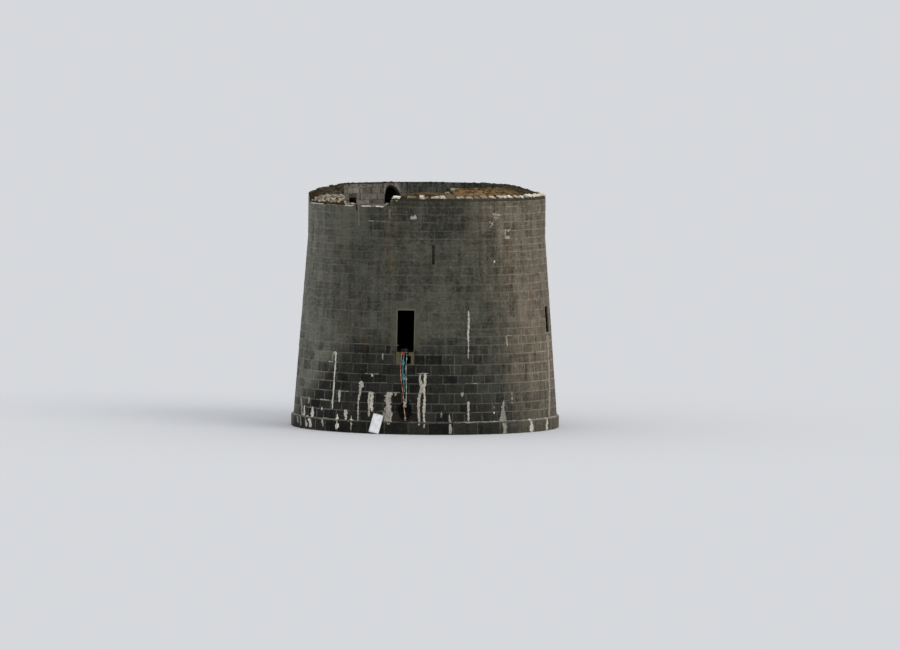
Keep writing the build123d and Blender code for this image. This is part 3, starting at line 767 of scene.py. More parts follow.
def cutOut(rects, hole):
    # What is left of rectangles round a hole, as rectangles
    h0, h1, g0, g1 = hole
    kept = []
    for u0, u1, v0, v1 in rects:
        if u1 <= h0 or u0 >= h1 or v1 <= g0 or v0 >= g1:
            kept.append((u0, u1, v0, v1))
            continue
        low, high = max(v0, g0), min(v1, g1)
        parts = [(u0, h0, v0, v1), (h1, u1, v0, v1)]
        parts += [(max(u0, h0), min(u1, h1), v0, low), (max(u0, h0), min(u1, h1), high, v1)]
        kept += [part for part in parts if part[1] - part[0] > leastWide and part[3] - part[2] > leastHigh]
    return kept


jointTries = 12


def courseEdges(length, look, before, rng):
    # Vertical joints of one closed course, kept off the joints of the course under it
    edges, at = [0.0], 0.0
    while length - at > look["longest"] + look["shortest"]:
        for _ in range(jointTries):
            step = rng.uniform(look["shortest"], look["longest"])
            if all(abs(at + step - other) > look["breakJoint"] for other in before):
                break
        at += step
        edges.append(at)
    return edges + [length]


# Outer wall

courses = {
    "levels": (0.64, 1.12, 1.56, 2.08, 2.57, 3.00, 3.53, 4.04, 4.52, 4.94, 5.33, 5.69, 6.20, 6.74,
               7.17, 7.58, 8.05, 8.48, 8.79, 9.22, 9.56, 9.89, 10.29, 10.73, 11.12, 11.51),
    "shortest": 0.55, "longest": 1.02, "breakJoint": 0.13, "seed": 41, "faceSeed": 100,
    "slit": {"bearing": 12.4, "width": 0.16, "low": 8.6, "high": 9.56},
    "crack": {"bearing": -26.6, "width": 0.07, "low": 11.27, "high": 11.6},
    "rimGap": (-72.0, -8.7),
    # pieces, with the levels between which the middle of each course lies
    "bands": (("ashlar_lower_courses", 0.0, 4.3), ("ashlar_middle_courses", 4.3, 8.0),
              ("ashlar_upper_courses", 8.0, 20.0)),
}
windowBearings = {"right": 85.0, "left": -85.0}
windowStones = ("window_lintels", "window_sills")


def tangentSpan(name, bearing):
    # How far a node reaches sideways about a bearing, and between which levels
    points = pointsOf(name)
    angle = math.radians(bearing)
    facing = points[:, 0] * math.sin(angle) - points[:, 1] * math.cos(angle)
    sideways = points[:, 0] * math.cos(angle) + points[:, 1] * math.sin(angle)
    near = facing > 0
    return sideways[near].min(), sideways[near].max(), points[near][:, 2].min(), points[near][:, 2].max()


def slotHole(gap):
    return gap["bearing"], -gap["width"] / 2, gap["width"] / 2, gap["low"], gap["high"]


def wallHoles():
    # Places that the coursed stones leave free: bearing, sideways from and to, lowest, highest
    holes = [
        slotHole(courses["crack"]),
        (0.0, doorStones[0].x, doorStones[1].x, sillLevel, lintelStone[1].z),
        (0.0, apronStone[0].x, apronStone[1].x, apronStone[0].z, apronStone[1].z),
        slotHole(courses["slit"]),
    ]
    for side, bearing in windowBearings.items():
        below = tangentSpan(f"wall_below_{side}_window", bearing)
        above = tangentSpan(f"wall_above_{side}_window", bearing)
        holes.append((bearing, below[0], below[1], below[3], above[2]))
        holes += [(bearing, *tangentSpan(name, bearing)) for name in windowStones]
    return holes


def unrolled(bearing, sideways, level):
    return footRadius * (math.radians(bearing) + math.asin(sideways / float(skin(level))))


def onWall(u, v, depth):
    return outward(u / footRadius, skin(v) + depth, v)


def wallRects():
    rng = random.Random(courses["seed"])
    length = 2 * math.pi * footRadius
    holes = wallHoles()
    levels = list(courses["levels"]) + [rimUnderside]
    rects, edges = [], []
    for low, high in zip(levels, levels[1:]):
        edges = courseEdges(length, courses, edges, rng)
        course = [(u0 - length / 2, u1 - length / 2, low, high) for u0, u1 in zip(edges, edges[1:])]
        middle = (low + high) / 2
        for bearing, first, last, lowest, highest in holes:
            hole = (unrolled(bearing, first, middle), unrolled(bearing, last, middle), lowest, highest)
            course = cutOut(course, hole)
        if low > breachFloor - hair:
            first, last = (footRadius * math.radians(bearing) for bearing in courses["rimGap"])
            course = cutOut(course, (first, last, low, high + hair))
        rects += course
    return rects


allRects = wallRects()
for index, (name, low, high) in enumerate(courses["bands"]):
    rects = [rect for rect in allRects if low <= (rect[2] + rect[3]) / 2 < high]
    layStones(name, rects, onWall, wallLook, courses["faceSeed"] + index, ashlar, "ashlar")
print("wall courses laid:", len(allRects), "stones")


# Plinth stones: each runs up the face and over the weathering

plinth = {
    "shortest": 0.8, "longest": 1.35, "breakJoint": 0.0, "seed": 52, "foot": 0.004, "corner": 0.012,
    "look": {**wallLook, "proud": 0.017},
}
plinthSlope = math.hypot(plinthTop - plinthEdge, plinthRadius - footRadius)


def onPlinth(u, v, depth):
    # v runs up the upright face and then along the weathering
    past = np.clip((v - plinthEdge) / plinthSlope, 0, 1)
    tilt = np.where(v > plinthEdge, math.atan2(plinthRadius - footRadius, plinthTop - plinthEdge), 0.0)
    radius = plinthRadius - (plinthRadius - footRadius) * past + depth * np.cos(tilt)
    level = np.minimum(v, plinthEdge) + (plinthTop - plinthEdge) * past + depth * np.sin(tilt)
    return outward(u / plinthRadius, radius, level)


def plinthRows(low, high, look):
    inner, corner = look["joint"] / 2, plinth["corner"]
    rows = [low + inner, low + look["bevel"], low + look["halo"], (low + plinthEdge) / 2,
            plinthEdge - corner + 0 * low, plinthEdge + corner + 0 * low, high - inner]
    return np.stack(rows, -1)


def plinthRects():
    half = math.pi * plinthRadius
    edges = courseEdges(2 * half, plinth, [], random.Random(plinth["seed"]))
    top = plinthEdge + plinthSlope
    return [(u0 - half, u1 - half, plinth["foot"], top) for u0, u1 in zip(edges, edges[1:])]


layStones("plinth_stones", plinthRects(), onPlinth, plinth["look"], plinth["seed"], ashlar, "ashlar",
          plinthRows)


# Stones round the door and the windows

surround = {
    "look": {**wallLook, "joint": 0.006, "relief": 0.0015, "wobble": 0.0015, "lift": 0.001},
    "jambCourses": (0.0, 0.27, 0.52, 0.78, 1.0), "seed": 63, "windowSeed": 64,
    "hole": (-0.05, 0.30, 3.97),  # in the apron: from, to, head
}


def onDoorFace(u, v, depth):
    # u is the sideways distance from the door's centre line
    radius = skin(v) + depth
    return np.stack([u, -np.sqrt(radius ** 2 - u ** 2), v], -1)


def surroundRects():
    jambs = [sillLevel + share * (headLevel - sillLevel) for share in surround["jambCourses"]]
    sides = ((doorStones[0].x, -doorHalf), (doorHalf, doorStones[1].x))
    rects = [(first, last, low, high) for first, last in sides for low, high in zip(jambs, jambs[1:])]
    rects.append((lintelStone[0].x, lintelStone[1].x, lintelStone[0].z, lintelStone[1].z))
    first, last, head = surround["hole"]
    foot, top = apronStone[0].z, apronStone[1].z
    rects += [(apronStone[0].x, first, foot, top), (last, apronStone[1].x, foot, top)]
    rects.append((first, last, head, top))
    return rects


def windowRects():
    rects = []
    for bearing in windowBearings.values():
        for name in windowStones:
            first, last, low, high = tangentSpan(name, bearing)
            middle = (low + high) / 2
            rects.append((unrolled(bearing, first, middle), unrolled(bearing, last, middle), low, high))
    return rects


layStones("door_surround_stones", surroundRects(), onDoorFace, surround["look"], surround["seed"],
          dressed, "dressed_stone")
layStones("window_dressings", windowRects(), onWall, surround["look"], surround["windowSeed"],
          ashlar, "dressed_stone")
print("openings dressed")


# Lime that has run out of the joints

limeRuns = {
    # each run is how solid its crust is, then its line as (bearing, level, width)
    "runs": (
        (0.8, (-35.2, 4.05, 0.14), (-35.0, 3.5, 0.1), (-35.1, 2.9, 0.1), (-35.1, 2.15, 0.11),
         (-35.4, 1.48, 0.12), (-35.2, 1.13, 0.05)),
        (0.5, (-36.1, 4.07, 0.3), (-36.1, 3.9, 0.28)),
        (0.2, (-37.1, 3.95, 0.12), (-36.9, 3.5, 0.06)),
        (0.75, (-31.8, 2.14, 0.18), (-31.6, 2.0, 0.2), (-31.4, 1.51, 0.07)),
        (0.6, (-20.2, 2.64, 0.32), (-20.1, 2.45, 0.26), (-20.6, 2.28, 0.16), (-20.9, 1.9, 0.15),
         (-21.1, 1.63, 0.11), (-21.2, 1.2, 0.08), (-20.9, 0.63, 0.11)),
        (0.6, (-15.3, 2.13, 0.38), (-15.3, 1.93, 0.36)),
        (0.7, (-14.7, 2.0, 0.2), (-14.7, 1.7, 0.22), (-14.5, 1.13, 0.15)),
        (0.6, (-16.1, 2.0, 0.14), (-16.0, 1.66, 0.13), (-15.7, 0.86, 0.11)),
        (0.5, (-7.1, 2.13, 0.44), (-7.0, 1.95, 0.42), (-6.9, 1.5, 0.4), (-6.8, 1.0, 0.38),
         (-6.6, 0.5, 0.34)),
        (0.4, (-4.0, 2.12, 0.22), (-4.0, 1.94, 0.09)),
        (0.3, (-8.6, 1.15, 0.2), (-8.5, 0.8, 0.18), (-8.4, 0.55, 0.14)),
        (0.7, (-27.5, 1.15, 0.32), (-27.4, 1.0, 0.26), (-27.3, 0.8, 0.2), (-27.1, 0.62, 0.16)),
        (0.95, (-32.1, 0.92, 0.05), (-32.1, 0.74, 0.1), (-32.0, 0.66, 0.3), (-31.6, 0.5, 0.36),
         (-31.3, 0.15, 0.3)),
        (0.85, (-24.5, 0.87, 0.04), (-24.4, 0.72, 0.07), (-24.4, 0.65, 0.3), (-24.2, 0.5, 0.25),
         (-24.0, 0.15, 0.14)),
        (0.6, (-40.3, 0.67, 0.26), (-39.9, 0.45, 0.15), (-39.5, 0.2, 0.12)),
        (0.45, (-62.4, 1.61, 0.22), (-60.3, 1.1, 0.2), (-59.0, 0.66, 0.26), (-57.8, 0.14, 0.24)),
        (0.75, (-57.5, 1.16, 0.18), (-56.9, 0.9, 0.26), (-56.4, 0.65, 0.25)),
        (0.5, (-53.5, 1.64, 0.34), (-53.0, 1.3, 0.16)),
        (0.85, (-49.6, 1.16, 0.18), (-49.2, 0.9, 0.27), (-48.9, 0.63, 0.27)),
        (0.8, (-54.2, 0.66, 0.42), (-53.4, 0.4, 0.34), (-52.4, 0.12, 0.26)),
        (0.8, (-49.9, 0.64, 0.38), (-49.2, 0.4, 0.3), (-48.6, 0.12, 0.24)),
        (0.4, (-63.1, 0.61, 0.24), (-61.2, 0.2, 0.22)),
        (0.8, (-14.9, 3.03, 0.19), (-14.8, 2.88, 0.1)),
        (0.9, (-42.3, 1.2, 0.06), (-42.2, 1.12, 0.17), (-42.2, 1.02, 0.05)),
        (0.4, (-10.2, 4.09, 0.15), (-10.2, 3.98, 0.1), (-10.1, 3.74, 0.04)),
        (0.55, (7.0, 3.08, 0.11), (6.7, 2.8, 0.15), (7.4, 2.55, 0.2), (7.4, 2.2, 0.16), (6.6, 2.05, 0.16),
         (6.4, 1.6, 0.14), (6.5, 1.0, 0.13), (6.7, 0.48, 0.11)),
        (0.65, (8.9, 3.08, 0.18), (8.9, 2.7, 0.15), (8.6, 2.3, 0.16), (8.8, 1.9, 0.13), (8.6, 1.2, 0.12),
         (8.8, 0.6, 0.11), (8.7, 0.34, 0.08)),
        (0.4, (25.3, 2.14, 0.36), (25.3, 2.04, 0.27), (25.6, 1.93, 0.1)),
        (0.5, (28.4, 1.68, 0.23), (28.2, 1.5, 0.15), (28.1, 1.1, 0.12), (28.0, 0.65, 0.1)),
        (0.4, (40.6, 1.4, 0.05), (40.6, 1.3, 0.1)),
        (0.9, (40.5, 1.13, 0.13), (40.5, 1.03, 0.11)),
        (0.35, (45.7, 1.68, 0.14), (45.4, 1.3, 0.26), (45.1, 0.88, 0.4), (44.8, 0.5, 0.52),
         (44.6, 0.03, 0.6)),
        (0.2, (50.3, 2.12, 0.15), (50.4, 1.9, 0.08)),
        (0.6, (50.3, 1.85, 0.11), (50.3, 1.7, 0.13)),
        (0.3, (50.3, 1.62, 0.1), (50.3, 1.48, 0.11)),
        (0.4, (16.2, 1.18, 0.09), (16.2, 0.88, 0.11)),
        (0.45, (19.7, 1.06, 0.03), (19.8, 0.8, 0.11), (19.9, 0.66, 0.2), (19.8, 0.56, 0.22),
         (20.0, 0.3, 0.2), (20.4, 0.06, 0.24)),
        (0.3, (84.0, 4.93, 0.34), (83.8, 4.31, 0.36), (83.1, 3.4, 0.38), (82.3, 2.49, 0.4),
         (80.6, 1.5, 0.36), (78.8, 0.66, 0.3)),
        (0.75, (61.6, 0.66, 0.42), (61.2, 0.55, 0.28), (61.4, 0.02, 0.32)),
        (0.7, (74.4, 0.66, 0.4), (74.2, 0.5, 0.3), (74.3, 0.02, 0.3)),
        (0.1, (52.6, 3.58, 0.42), (53.2, 3.48, 0.2), (53.6, 3.34, 0.12)),
        (0.05, (22.1, 3.96, 0.05), (22.0, 3.02, 0.09)),
        (0.55, (28.9, 6.26, 0.08), (29.0, 6.0, 0.14), (28.8, 5.5, 0.13), (28.6, 4.9, 0.12),
         (28.6, 4.54, 0.1), (28.5, 3.84, 0.05)),
        (0.45, (48.6, 4.97, 0.12), (48.6, 4.42, 0.1)),
        (0.9, (43.0, 8.79, 0.13), (43.0, 8.67, 0.11)),
        (0.3, (40.2, 10.78, 0.1), (42.0, 10.62, 0.13), (43.2, 10.57, 0.08)),
        (0.35, (42.6, 10.75, 0.07), (41.0, 10.45, 0.15)),
        (0.25, (50.3, 10.3, 0.16), (50.3, 9.92, 0.16)),
        (0.2, (43.6, 11.2, 0.1), (44.4, 10.95, 0.16), (43.8, 10.78, 0.1)),
        (0.05, (-25.4, 11.5, 0.16), (-25.3, 11.2, 0.11), (-25.2, 10.5, 0.08)),
        (0.05, (-8.9, 11.4, 0.2), (-8.9, 10.9, 0.1)),
    ),
    # pale joints, and the broken crust along the breach: bearing, level, length, height, how solid
    "bars": (
        (-58.8, 11.5, 1.95, 0.07, 0.6), (-43.0, 11.5, 0.9, 0.05, 0.1), (-31.3, 11.5, 0.62, 0.07, 0.7),
        (-21.3, 11.5, 0.62, 0.07, 0.85), (-14.0, 11.5, 0.48, 0.08, 1.0), (-17.3, 11.5, 0.3, 0.06, 0.3),
        (-38.2, 3.53, 0.34, 0.07, 0.5), (-40.9, 1.58, 0.8, 0.06, 0.55), (-39.0, 0.66, 0.4, 0.05, 0.5),
        (-15.2, 3.03, 0.8, 0.05, 0.3), (-11.3, 2.6, 0.85, 0.04, 0.1), (-29.2, 2.09, 0.66, 0.05, 0.3),
        (-18.0, 2.12, 0.8, 0.045, 0.2), (-5.0, 2.12, 0.75, 0.05, 0.3), (8.0, 3.09, 0.58, 0.06, 0.4),
        (30.6, 2.59, 0.9, 0.04, 0.15), (31.4, 2.59, 0.32, 0.05, 0.4), (50.0, 4.96, 0.38, 0.06, 0.35),
        (51.6, 10.29, 0.46, 0.13, 0.4), (51.4, 9.93, 0.42, 0.16, 0.45), (2.9, 10.96, 0.34, 0.22, 0.5),
        (43.5, 11.14, 0.3, 0.13, 0.35), (45.9, 11.1, 0.32, 0.12, 0.4), (44.6, 10.96, 0.4, 0.13, 0.25),
        (-0.6, 9.88, 1.3, 0.045, 0.0), (14.5, 9.89, 1.1, 0.045, 0.05), (25.0, 9.89, 0.9, 0.04, 0.0),
        (-20.9, 4.52, 0.95, 0.05, 0.1), (46.5, 9.5, 0.4, 0.07, 0.0), (-18.2, 10.76, 0.34, 0.07, 0.35),
        (-12.0, 10.76, 0.95, 0.04, 0.1), (-28.6, 10.335, 0.8, 0.04, 0.05), (-8.6, 1.17, 0.5, 0.04, 0.2),
        (47.5, 2.1, 0.6, 0.03, 0.1), (46.5, 1.66, 0.5, 0.03, 0.15), (60.0, 1.2, 0.8, 0.035, 0.1),
        (-57.5, 1.6, 1.3, 0.05, 0.2), (-5.5, 4.5, 0.6, 0.05, 0.0), (62.0, 10.5, 0.9, 0.04, 0.05),
    ),
    # the plinth's top joint: from bearing, to bearing, how solid
    "plinthLine": (
        (-76.0, -46.0, 0.35), (-46.0, -31.5, 0.2), (-30.5, -16.0, 0.05), (2.0, 21.0, 0.15),
        (21.0, 38.0, 0.4), (38.0, 58.0, 0.5), (58.0, 88.0, 0.5),
    ),
    "step": 0.045, "seat": 0.002, "lineRise": 0.015, "lineWidth": 0.07, "end": 0.45, "endStep": 0.4,
    "wander": 0.2, "wanderTight": 2.1, "ragged": 0.8, "raggedTight": 12,
    # across the crust: share of its half width, how proud
    "section": ((-1.0, 0.0), (-0.66, 0.0036), (0.0, 0.006), (0.66, 0.0036), (1.0, 0.0),
                (1.0, -0.03), (-1.0, -0.03)),
}


def limeRibbon(points, index, body, vertices, faces, attributes):
    # A ragged crust along a line of (sideways, up, width) on the unrolled wall
    line, widths = [], []
    for (u0, v0, w0), (u1, v1, w1) in zip(points, points[1:]):
        steps = max(2, round(math.hypot(u1 - u0, v1 - v0) / limeRuns["step"]))
        for step in range(steps + (v1 == points[-1][1] and u1 == points[-1][0])):
            share = step / steps
            line.append(Vector((u0 + (u1 - u0) * share, v0 + (v1 - v0) * share)))
            widths.append(w0 + (w1 - w0) * share)
    start, last = len(vertices), len(line) - 1
    section, tight, rough = limeRuns["section"], limeRuns["wanderTight"], limeRuns["raggedTight"]
    for row, (place, width) in enumerate(zip(line, widths)):
        ahead = (line[min(row + 1, last)] - line[max(row - 1, 0)]).normalized()
        side = Vector((-ahead.y, ahead.x))
        spot = Vector((place.x * tight, place.y * tight, index * 3.7))
        wander = noise.noise(spot) * limeRuns["wander"] * width
        end = min(1.0, limeRuns["end"] + limeRuns["endStep"] * min(row, last - row))
        for offset, lift in section:
            spot = Vector((place.x * rough, place.y * rough, index * 5.1 + (9 if offset < 0 else 4)))
            ragged = 1.0 + limeRuns["ragged"] * noise.noise(spot)
            spot = place + side * (wander + offset * ragged * end * width / 2)
            vertices.append(tuple(onWall(spot.x, spot.y, wallLook["proud"] + lift + limeRuns["seat"])))
            attributes["edge"].append(1.0 - offset ** 2)
    attributes["tone"] += [body] * (len(line) * len(section))
    faces += ringFaces(start, len(line), len(section))


def wallAlong(bearing):
    return footRadius * math.radians(bearing)


def limeLines():
    # Every run, bar and plinth joint as points of (sideways, up, width), with how solid its crust is
    lines = []
    for body, *points in limeRuns["runs"]:
        lines.append(([(wallAlong(bearing), level, width) for bearing, level, width in points], body))
    for bearing, level, length, height, body in limeRuns["bars"]:
        middle = wallAlong(bearing)
        lines.append(([(middle - length / 2, level, height), (middle + length / 2, level, height)], body))
    level, width = (plinthTop + plinthEdge) / 2 + limeRuns["lineRise"], limeRuns["lineWidth"]
    for first, last, body in limeRuns["plinthLine"]:
        lines.append(([(wallAlong(bearing), level, width) for bearing in (first, last)], body))
    return lines


def limePiece():
    vertices, faces, attributes = [], [], {"tone": [], "edge": []}
    for index, (points, body) in enumerate(limeLines()):
        limeRibbon(points, index, body, vertices, faces, attributes)
    makePiece("lime_runs", vertices, faces, lime, "ashlar", attributes)


limePiece()
print("lime runs laid")


# Parapet: soil, coping, worn top and rubble

def treeOf(names):
    vertices, faces = [], []
    for name in names:
        mesh = nodes[name].data
        start = len(vertices)
        vertices += [vertex.co.copy() for vertex in mesh.vertices]
        faces += [tuple(start + index for index in polygon.vertices) for polygon in mesh.polygons]
    return BVHTree.FromPolygons(vertices, faces)


wholeSlopes = ("slope_front_right", "slope_right", "slope_rear_right", "slope_rear_left", "slope_left")
rubbleBeds = wholeSlopes + ("slope_worn", "parapet_front_left", "parapet_left", "parapet_front_right")
slopeTree = treeOf(wholeSlopes)
wornTree = treeOf(("slope_worn",))
headTree = treeOf([name for name in nodes if name.startswith(("parapet_", "slope_"))])
edgeSearch = {"from": 0.3, "halvings": 16}


def topOf(tree, x, y):
    hit = tree.ray_cast(Vector((x, y, crestLevel + 1)), Vector((0, 0, -1)))
    return hit[0].z if hit[0] else None


def spotAt(angle, radius):
    return radius * math.sin(angle), -radius * math.cos(angle)


def innerEdge(tree, angle, outside):
    # The radius where the parapet stops above the gun platform, on one bearing
    inside = edgeSearch["from"]
    for _ in range(edgeSearch["halvings"]):
        middle = (inside + outside) / 2
        if topOf(tree, *spotAt(angle, middle)) is None:
            inside = middle
        else:
            outside = middle
    return outside


soilSkinLook = {
    "bearings": (-6.5, 287.7), "bearingStep": 0.8, "rows": 22, "thick": -0.01, "sink": 0.12, "deepest": -0.05,
    "lip": 0.02, "lipTight": 0.35, "margin": 0.05, "rest": 0.02,
    # lumps: height, how tight, place in the noise
    "lumps": ((0.04, 0.9, 2.0), (0.06, 4.2, 5.0), (0.04, 13.0, 8.0)),
}
wornSkinLook = {
    **soilSkinLook, "bearings": (288.2, 331.5), "thick": 0.0,
    "lumps": ((0.08, 0.9, 2.0), (0.08, 4.2, 5.0), (0.05, 13.0, 8.0)),
}
wornInset = 0.10  # the worn soil stops this far inside the neck's face


def soilSkin(name, tree, outer, finish, look):
    # A lumpy blanket over the sloped top, closed underneath, with a ragged lip over the inner edge
    first, last = look["bearings"]
    steps, rows = round((last - first) / look["bearingStep"]), look["rows"]
    vertices = []
    for step in range(steps + 1):
        angle = math.radians(first + (last - first) * step / steps)
        inner = innerEdge(tree, angle, outer - look["margin"])
        lip = look["lip"] * (0.5 + noise.noise(Vector((math.degrees(angle) * look["lipTight"], 3.1, 0))))
        ribbon, under = [], []
        for row in range(rows + 1):
            share = row / rows
            radius = outer + (inner - lip - outer) * share
            top = topOf(tree, *spotAt(angle, max(radius, inner + look["rest"]))) or breachFloor
            x, y = spotAt(angle, radius)
            swell = min(1.0, 6 * share, 0.35 + 3 * (1 - share))
            spots = [(high, Vector((x * tight, y * tight, place))) for high, tight, place in look["lumps"]]
            lumps = sum(high * noise.noise(spot) for high, spot in spots)
            ribbon.append((x, y, top + max(look["thick"] * swell + swell * lumps, look["deepest"])))
            under.append((x, y, top - look["sink"]))
        vertices += ribbon + under[::-1]
    faces = ringFaces(0, steps + 1, 2 * (rows + 1))
    makePiece(name, vertices, faces, finish, "earth_and_rubble", smoothUpTo=50)


soilSkin("parapet_soil", slopeTree, copingRadius, soil, soilSkinLook)
soilSkin("worn_parapet_soil", wornTree, neckRadius - wornInset, wornSoil, wornSkinLook)
print("soil laid")

coping = {
    # slabs that stay along the front, as bearings from and to, then slabs at random round to the last bearing
    "slabs": ((-7.7, -3.8), (-0.4, 3.9), (5.4, 7.8), (8.2, 10.1), (11.1, 15.2), (15.5, 18.3), (18.7, 23.0),
              (23.4, 27.4), (28.6, 31.9), (32.8, 35.2), (36.5, 40.0), (41.6, 44.4)),
    "shortest": 0.16, "longest": 0.36, "gap": (0.08, 0.24), "seed": 74, "last": 287.0, "slopeRun": 1.6,
    # how far up the slope a slab starts and ends
    "foot": (0.0, 0.05), "head": (0.2, 0.42),
    "look": {"joint": 0.0, "proud": 0.06, "bevel": 0.035, "halo": 0.08, "sunk": -0.02, "sideWobble": 0.01,
             "relief": 0.012, "wobble": 0.022, "lift": 0.015, "rounding": 0.03, "uprightFade": 0.0},
}
slopeAngle = math.atan2(crestLevel - rimLevel, coping["slopeRun"])


def onCoping(u, v, depth):
    # v runs in from the rim, up the slope
    radius = neckRadius - v * math.cos(slopeAngle) - depth * math.sin(slopeAngle)
    level = rimLevel + v * math.sin(slopeAngle) + depth * math.cos(slopeAngle)
    return outward(u / neckRadius, radius, level)


def copingRects():
    rng = random.Random(coping["seed"])
    spans = [tuple(neckRadius * math.radians(bearing) for bearing in slab) for slab in coping["slabs"]]
    at, last = spans[-1][1], neckRadius * math.radians(coping["last"])
    while last - at > coping["longest"] + coping["gap"][1]:
        at += rng.uniform(*coping["gap"])
        spans.append((at, at + rng.uniform(coping["shortest"], coping["longest"])))
        at = spans[-1][1]
    return [(first, end, rng.uniform(*coping["foot"]), rng.uniform(*coping["head"])) for first, end in spans]


layStones("coping_slabs", copingRects(), onCoping, coping["look"], coping["seed"], paleLitStone, "coping_stone")

brokenStone = {
    "lean": 0.35, "squash": ((0.8, 1.2), (0.6, 1.0), (0.35, 0.65)), "boxy": 0.55, "least": 0.85,
    "lumps": 0.3, "tight": 1.3, "seat": 0.08,
}


def lump(centre, size, seed, vertices, faces):
    # One broken stone: a squashed, cut-down ball
    look, rng, start = brokenStone, random.Random(seed), len(vertices)
    work = bmesh.new()
    bmesh.ops.create_icosphere(work, subdivisions=2, radius=1.0)
    turn = Matrix.Rotation(rng.uniform(0, math.tau), 3, "Z")
    turn = turn @ Matrix.Rotation(rng.uniform(-look["lean"], look["lean"]), 3, "X")
    squash = Vector([rng.uniform(*span) for span in look["squash"]])
    for vertex in work.verts:
        point = Vector([math.copysign(abs(part) ** look["boxy"], part) for part in vertex.co.normalized()])
        point *= look["least"] + look["lumps"] * noise.noise(vertex.co * look["tight"] + Vector((seed, 0, 0)))
        point = turn @ Vector([a * b for a, b in zip(point, squash)])
        vertices.append(tuple(centre + point * size / 2))
    faces += [tuple(start + vertex.index for vertex in face.verts) for face in work.faces]
    work.free()


scatter = {
    "seed": 85,
    # loose stones: how many, bearings, radii, sizes, how pale
    "lots": ((260, (298.0, 325.0), (5.0, 6.0), (0.06, 0.24), (0.35, 1.0)),
             (80, (288.5, 303.0), (5.5, 6.02), (0.05, 0.18), (0.2, 0.75)),
             (110, (288.5, 331.0), (4.4, 6.0), (0.06, 0.22), (0.0, 0.3)),
             (40, (346.5, 355.0), (4.4, 6.02), (0.08, 0.24), (0.2, 0.8)),
             (30, (270.0, 290.0), (4.8, 5.9), (0.16, 0.36), (0.0, 0.2)),
             (40, (-4.0, 60.0), (5.3, 5.8), (0.04, 0.12), (0.0, 0.6))),
    # single stones: bearing, radius, size, how pale
    "extra": ((321.9, 5.15, 0.3, 1.0), (22.0, 4.7, 0.34, 0.8), (25.0, 4.75, 0.3, 0.6)),
    # stones of the lots that lie before this bearing and above this level are dull
    "dullTo": 331.0, "dullAbove": 11.93, "dull": 0.12,
}


def rubblePiece():
    rng = random.Random(scatter["seed"])
    vertices, faces, tones = [], [], []
    beds = treeOf(rubbleBeds)
    spots = [tuple(rng.uniform(*span) for span in spans)
             for count, *spans in scatter["lots"] for _ in range(count)]
    for index, (bearing, radius, size, pale) in enumerate(spots + list(scatter["extra"])):
        x, y, _ = outward(math.radians(bearing), radius, 0.0)
        top = topOf(beds, x, y)
        if top is not None:
            before = len(vertices)
            lump(Vector((x, y, top + size * brokenStone["seat"])), size, index + 1, vertices, faces)
            worn = bearing < scatter["dullTo"] and index < len(spots) and top > scatter["dullAbove"]
            tones += [min(pale, scatter["dull"]) if worn else pale] * (len(vertices) - before)
    makePiece("parapet_rubble", vertices, faces, rubble, "earth_and_rubble", {"tone": tones}, smoothUpTo=30)


rubblePiece()
print("parapet dressed")


# Inner wall of the gun platform

innerCourses = {
    "height": 0.31, "uneven": (0.85, 1.15), "shortest": 0.3, "longest": 0.62, "breakJoint": 0.08, "seed": 96,
    # how far under the crest the last course may start, and where it ends
    "lastStart": 0.06, "lastEnd": 0.02,
    "look": {**wallLook, "joint": 0.012, "proud": 0.012, "halo": 0.05, "relief": 0.004, "wobble": 0.006},
}
# how a place on a lobe's wall is tested for the mass behind it
backing = {
    "sample": 0.04, "foot": 0.04, "head": 0.03, "shortest": 0.08, "from": 0.3, "reach": 0.34, "least": 0.25,
}


def lobeCentre(bearing):
    return Vector(outward(math.radians(bearing), lobeShift, 0.0))


def lobePlace(centre):
    def place(u, v, depth):
        points = outward(u / lobeRadius, lobeRadius - depth, v)
        return points + np.array([centre.x, centre.y, 0.0])
    return place


def isBacked(centre, u, v):
    # True where the parapet's mass is straight behind this place on a lobe's wall
    outwards = Vector(outward(u / lobeRadius, 1.0, 0.0))
    start = Vector((centre.x, centre.y, v)) + outwards * (lobeRadius - backing["from"])
    hit = headTree.ray_cast(start, outwards, backing["reach"])
    return hit[0] is not None and hit[3] > backing["least"]


def backedParts(centre, first, last, low, high):
    # The stretches of one stone that have the parapet's mass behind them
    count = max(3, round((last - first) / backing["sample"]))
    places = [first + (last - first) * (index + 0.5) / count for index in range(count)]
    levels = (low + backing["foot"], (low + high) / 2, high - backing["head"])
    backed = [all(isBacked(centre, u, v) for v in levels) for u in places]
    half = (last - first) / count / 2
    parts, start = [], None
    for place, good in zip(places + [last], backed + [False]):
        if good and start is None:
            start = place - half
        elif not good and start is not None:
            if place - half - start > backing["shortest"]:
                parts.append((start, min(place - half, last), low, high))
            start = None
    return parts


def innerWalls():
    rng = random.Random(innerCourses["seed"])
    for bearing in lobeBearings:
        centre, half = lobeCentre(bearing), math.pi * lobeRadius
        shift = math.radians(bearing) * lobeRadius - half
        rects, level, edges = [], platformLevel, []
        while level < crestLevel - innerCourses["lastStart"]:
            top = level + innerCourses["height"] * rng.uniform(*innerCourses["uneven"])
            top = min(top, crestLevel - innerCourses["lastEnd"])
            edges = courseEdges(2 * half, innerCourses, edges, rng)
            for u0, u1 in zip(edges, edges[1:]):
                rects += backedParts(centre, u0 + shift, u1 + shift, level, top)
            level = top
        layStones(f"inner_wall_lobe_{round(bearing)}", rects, lobePlace(centre), innerCourses["look"],
                  round(bearing), innerStone, "inner_stone")


innerWalls()

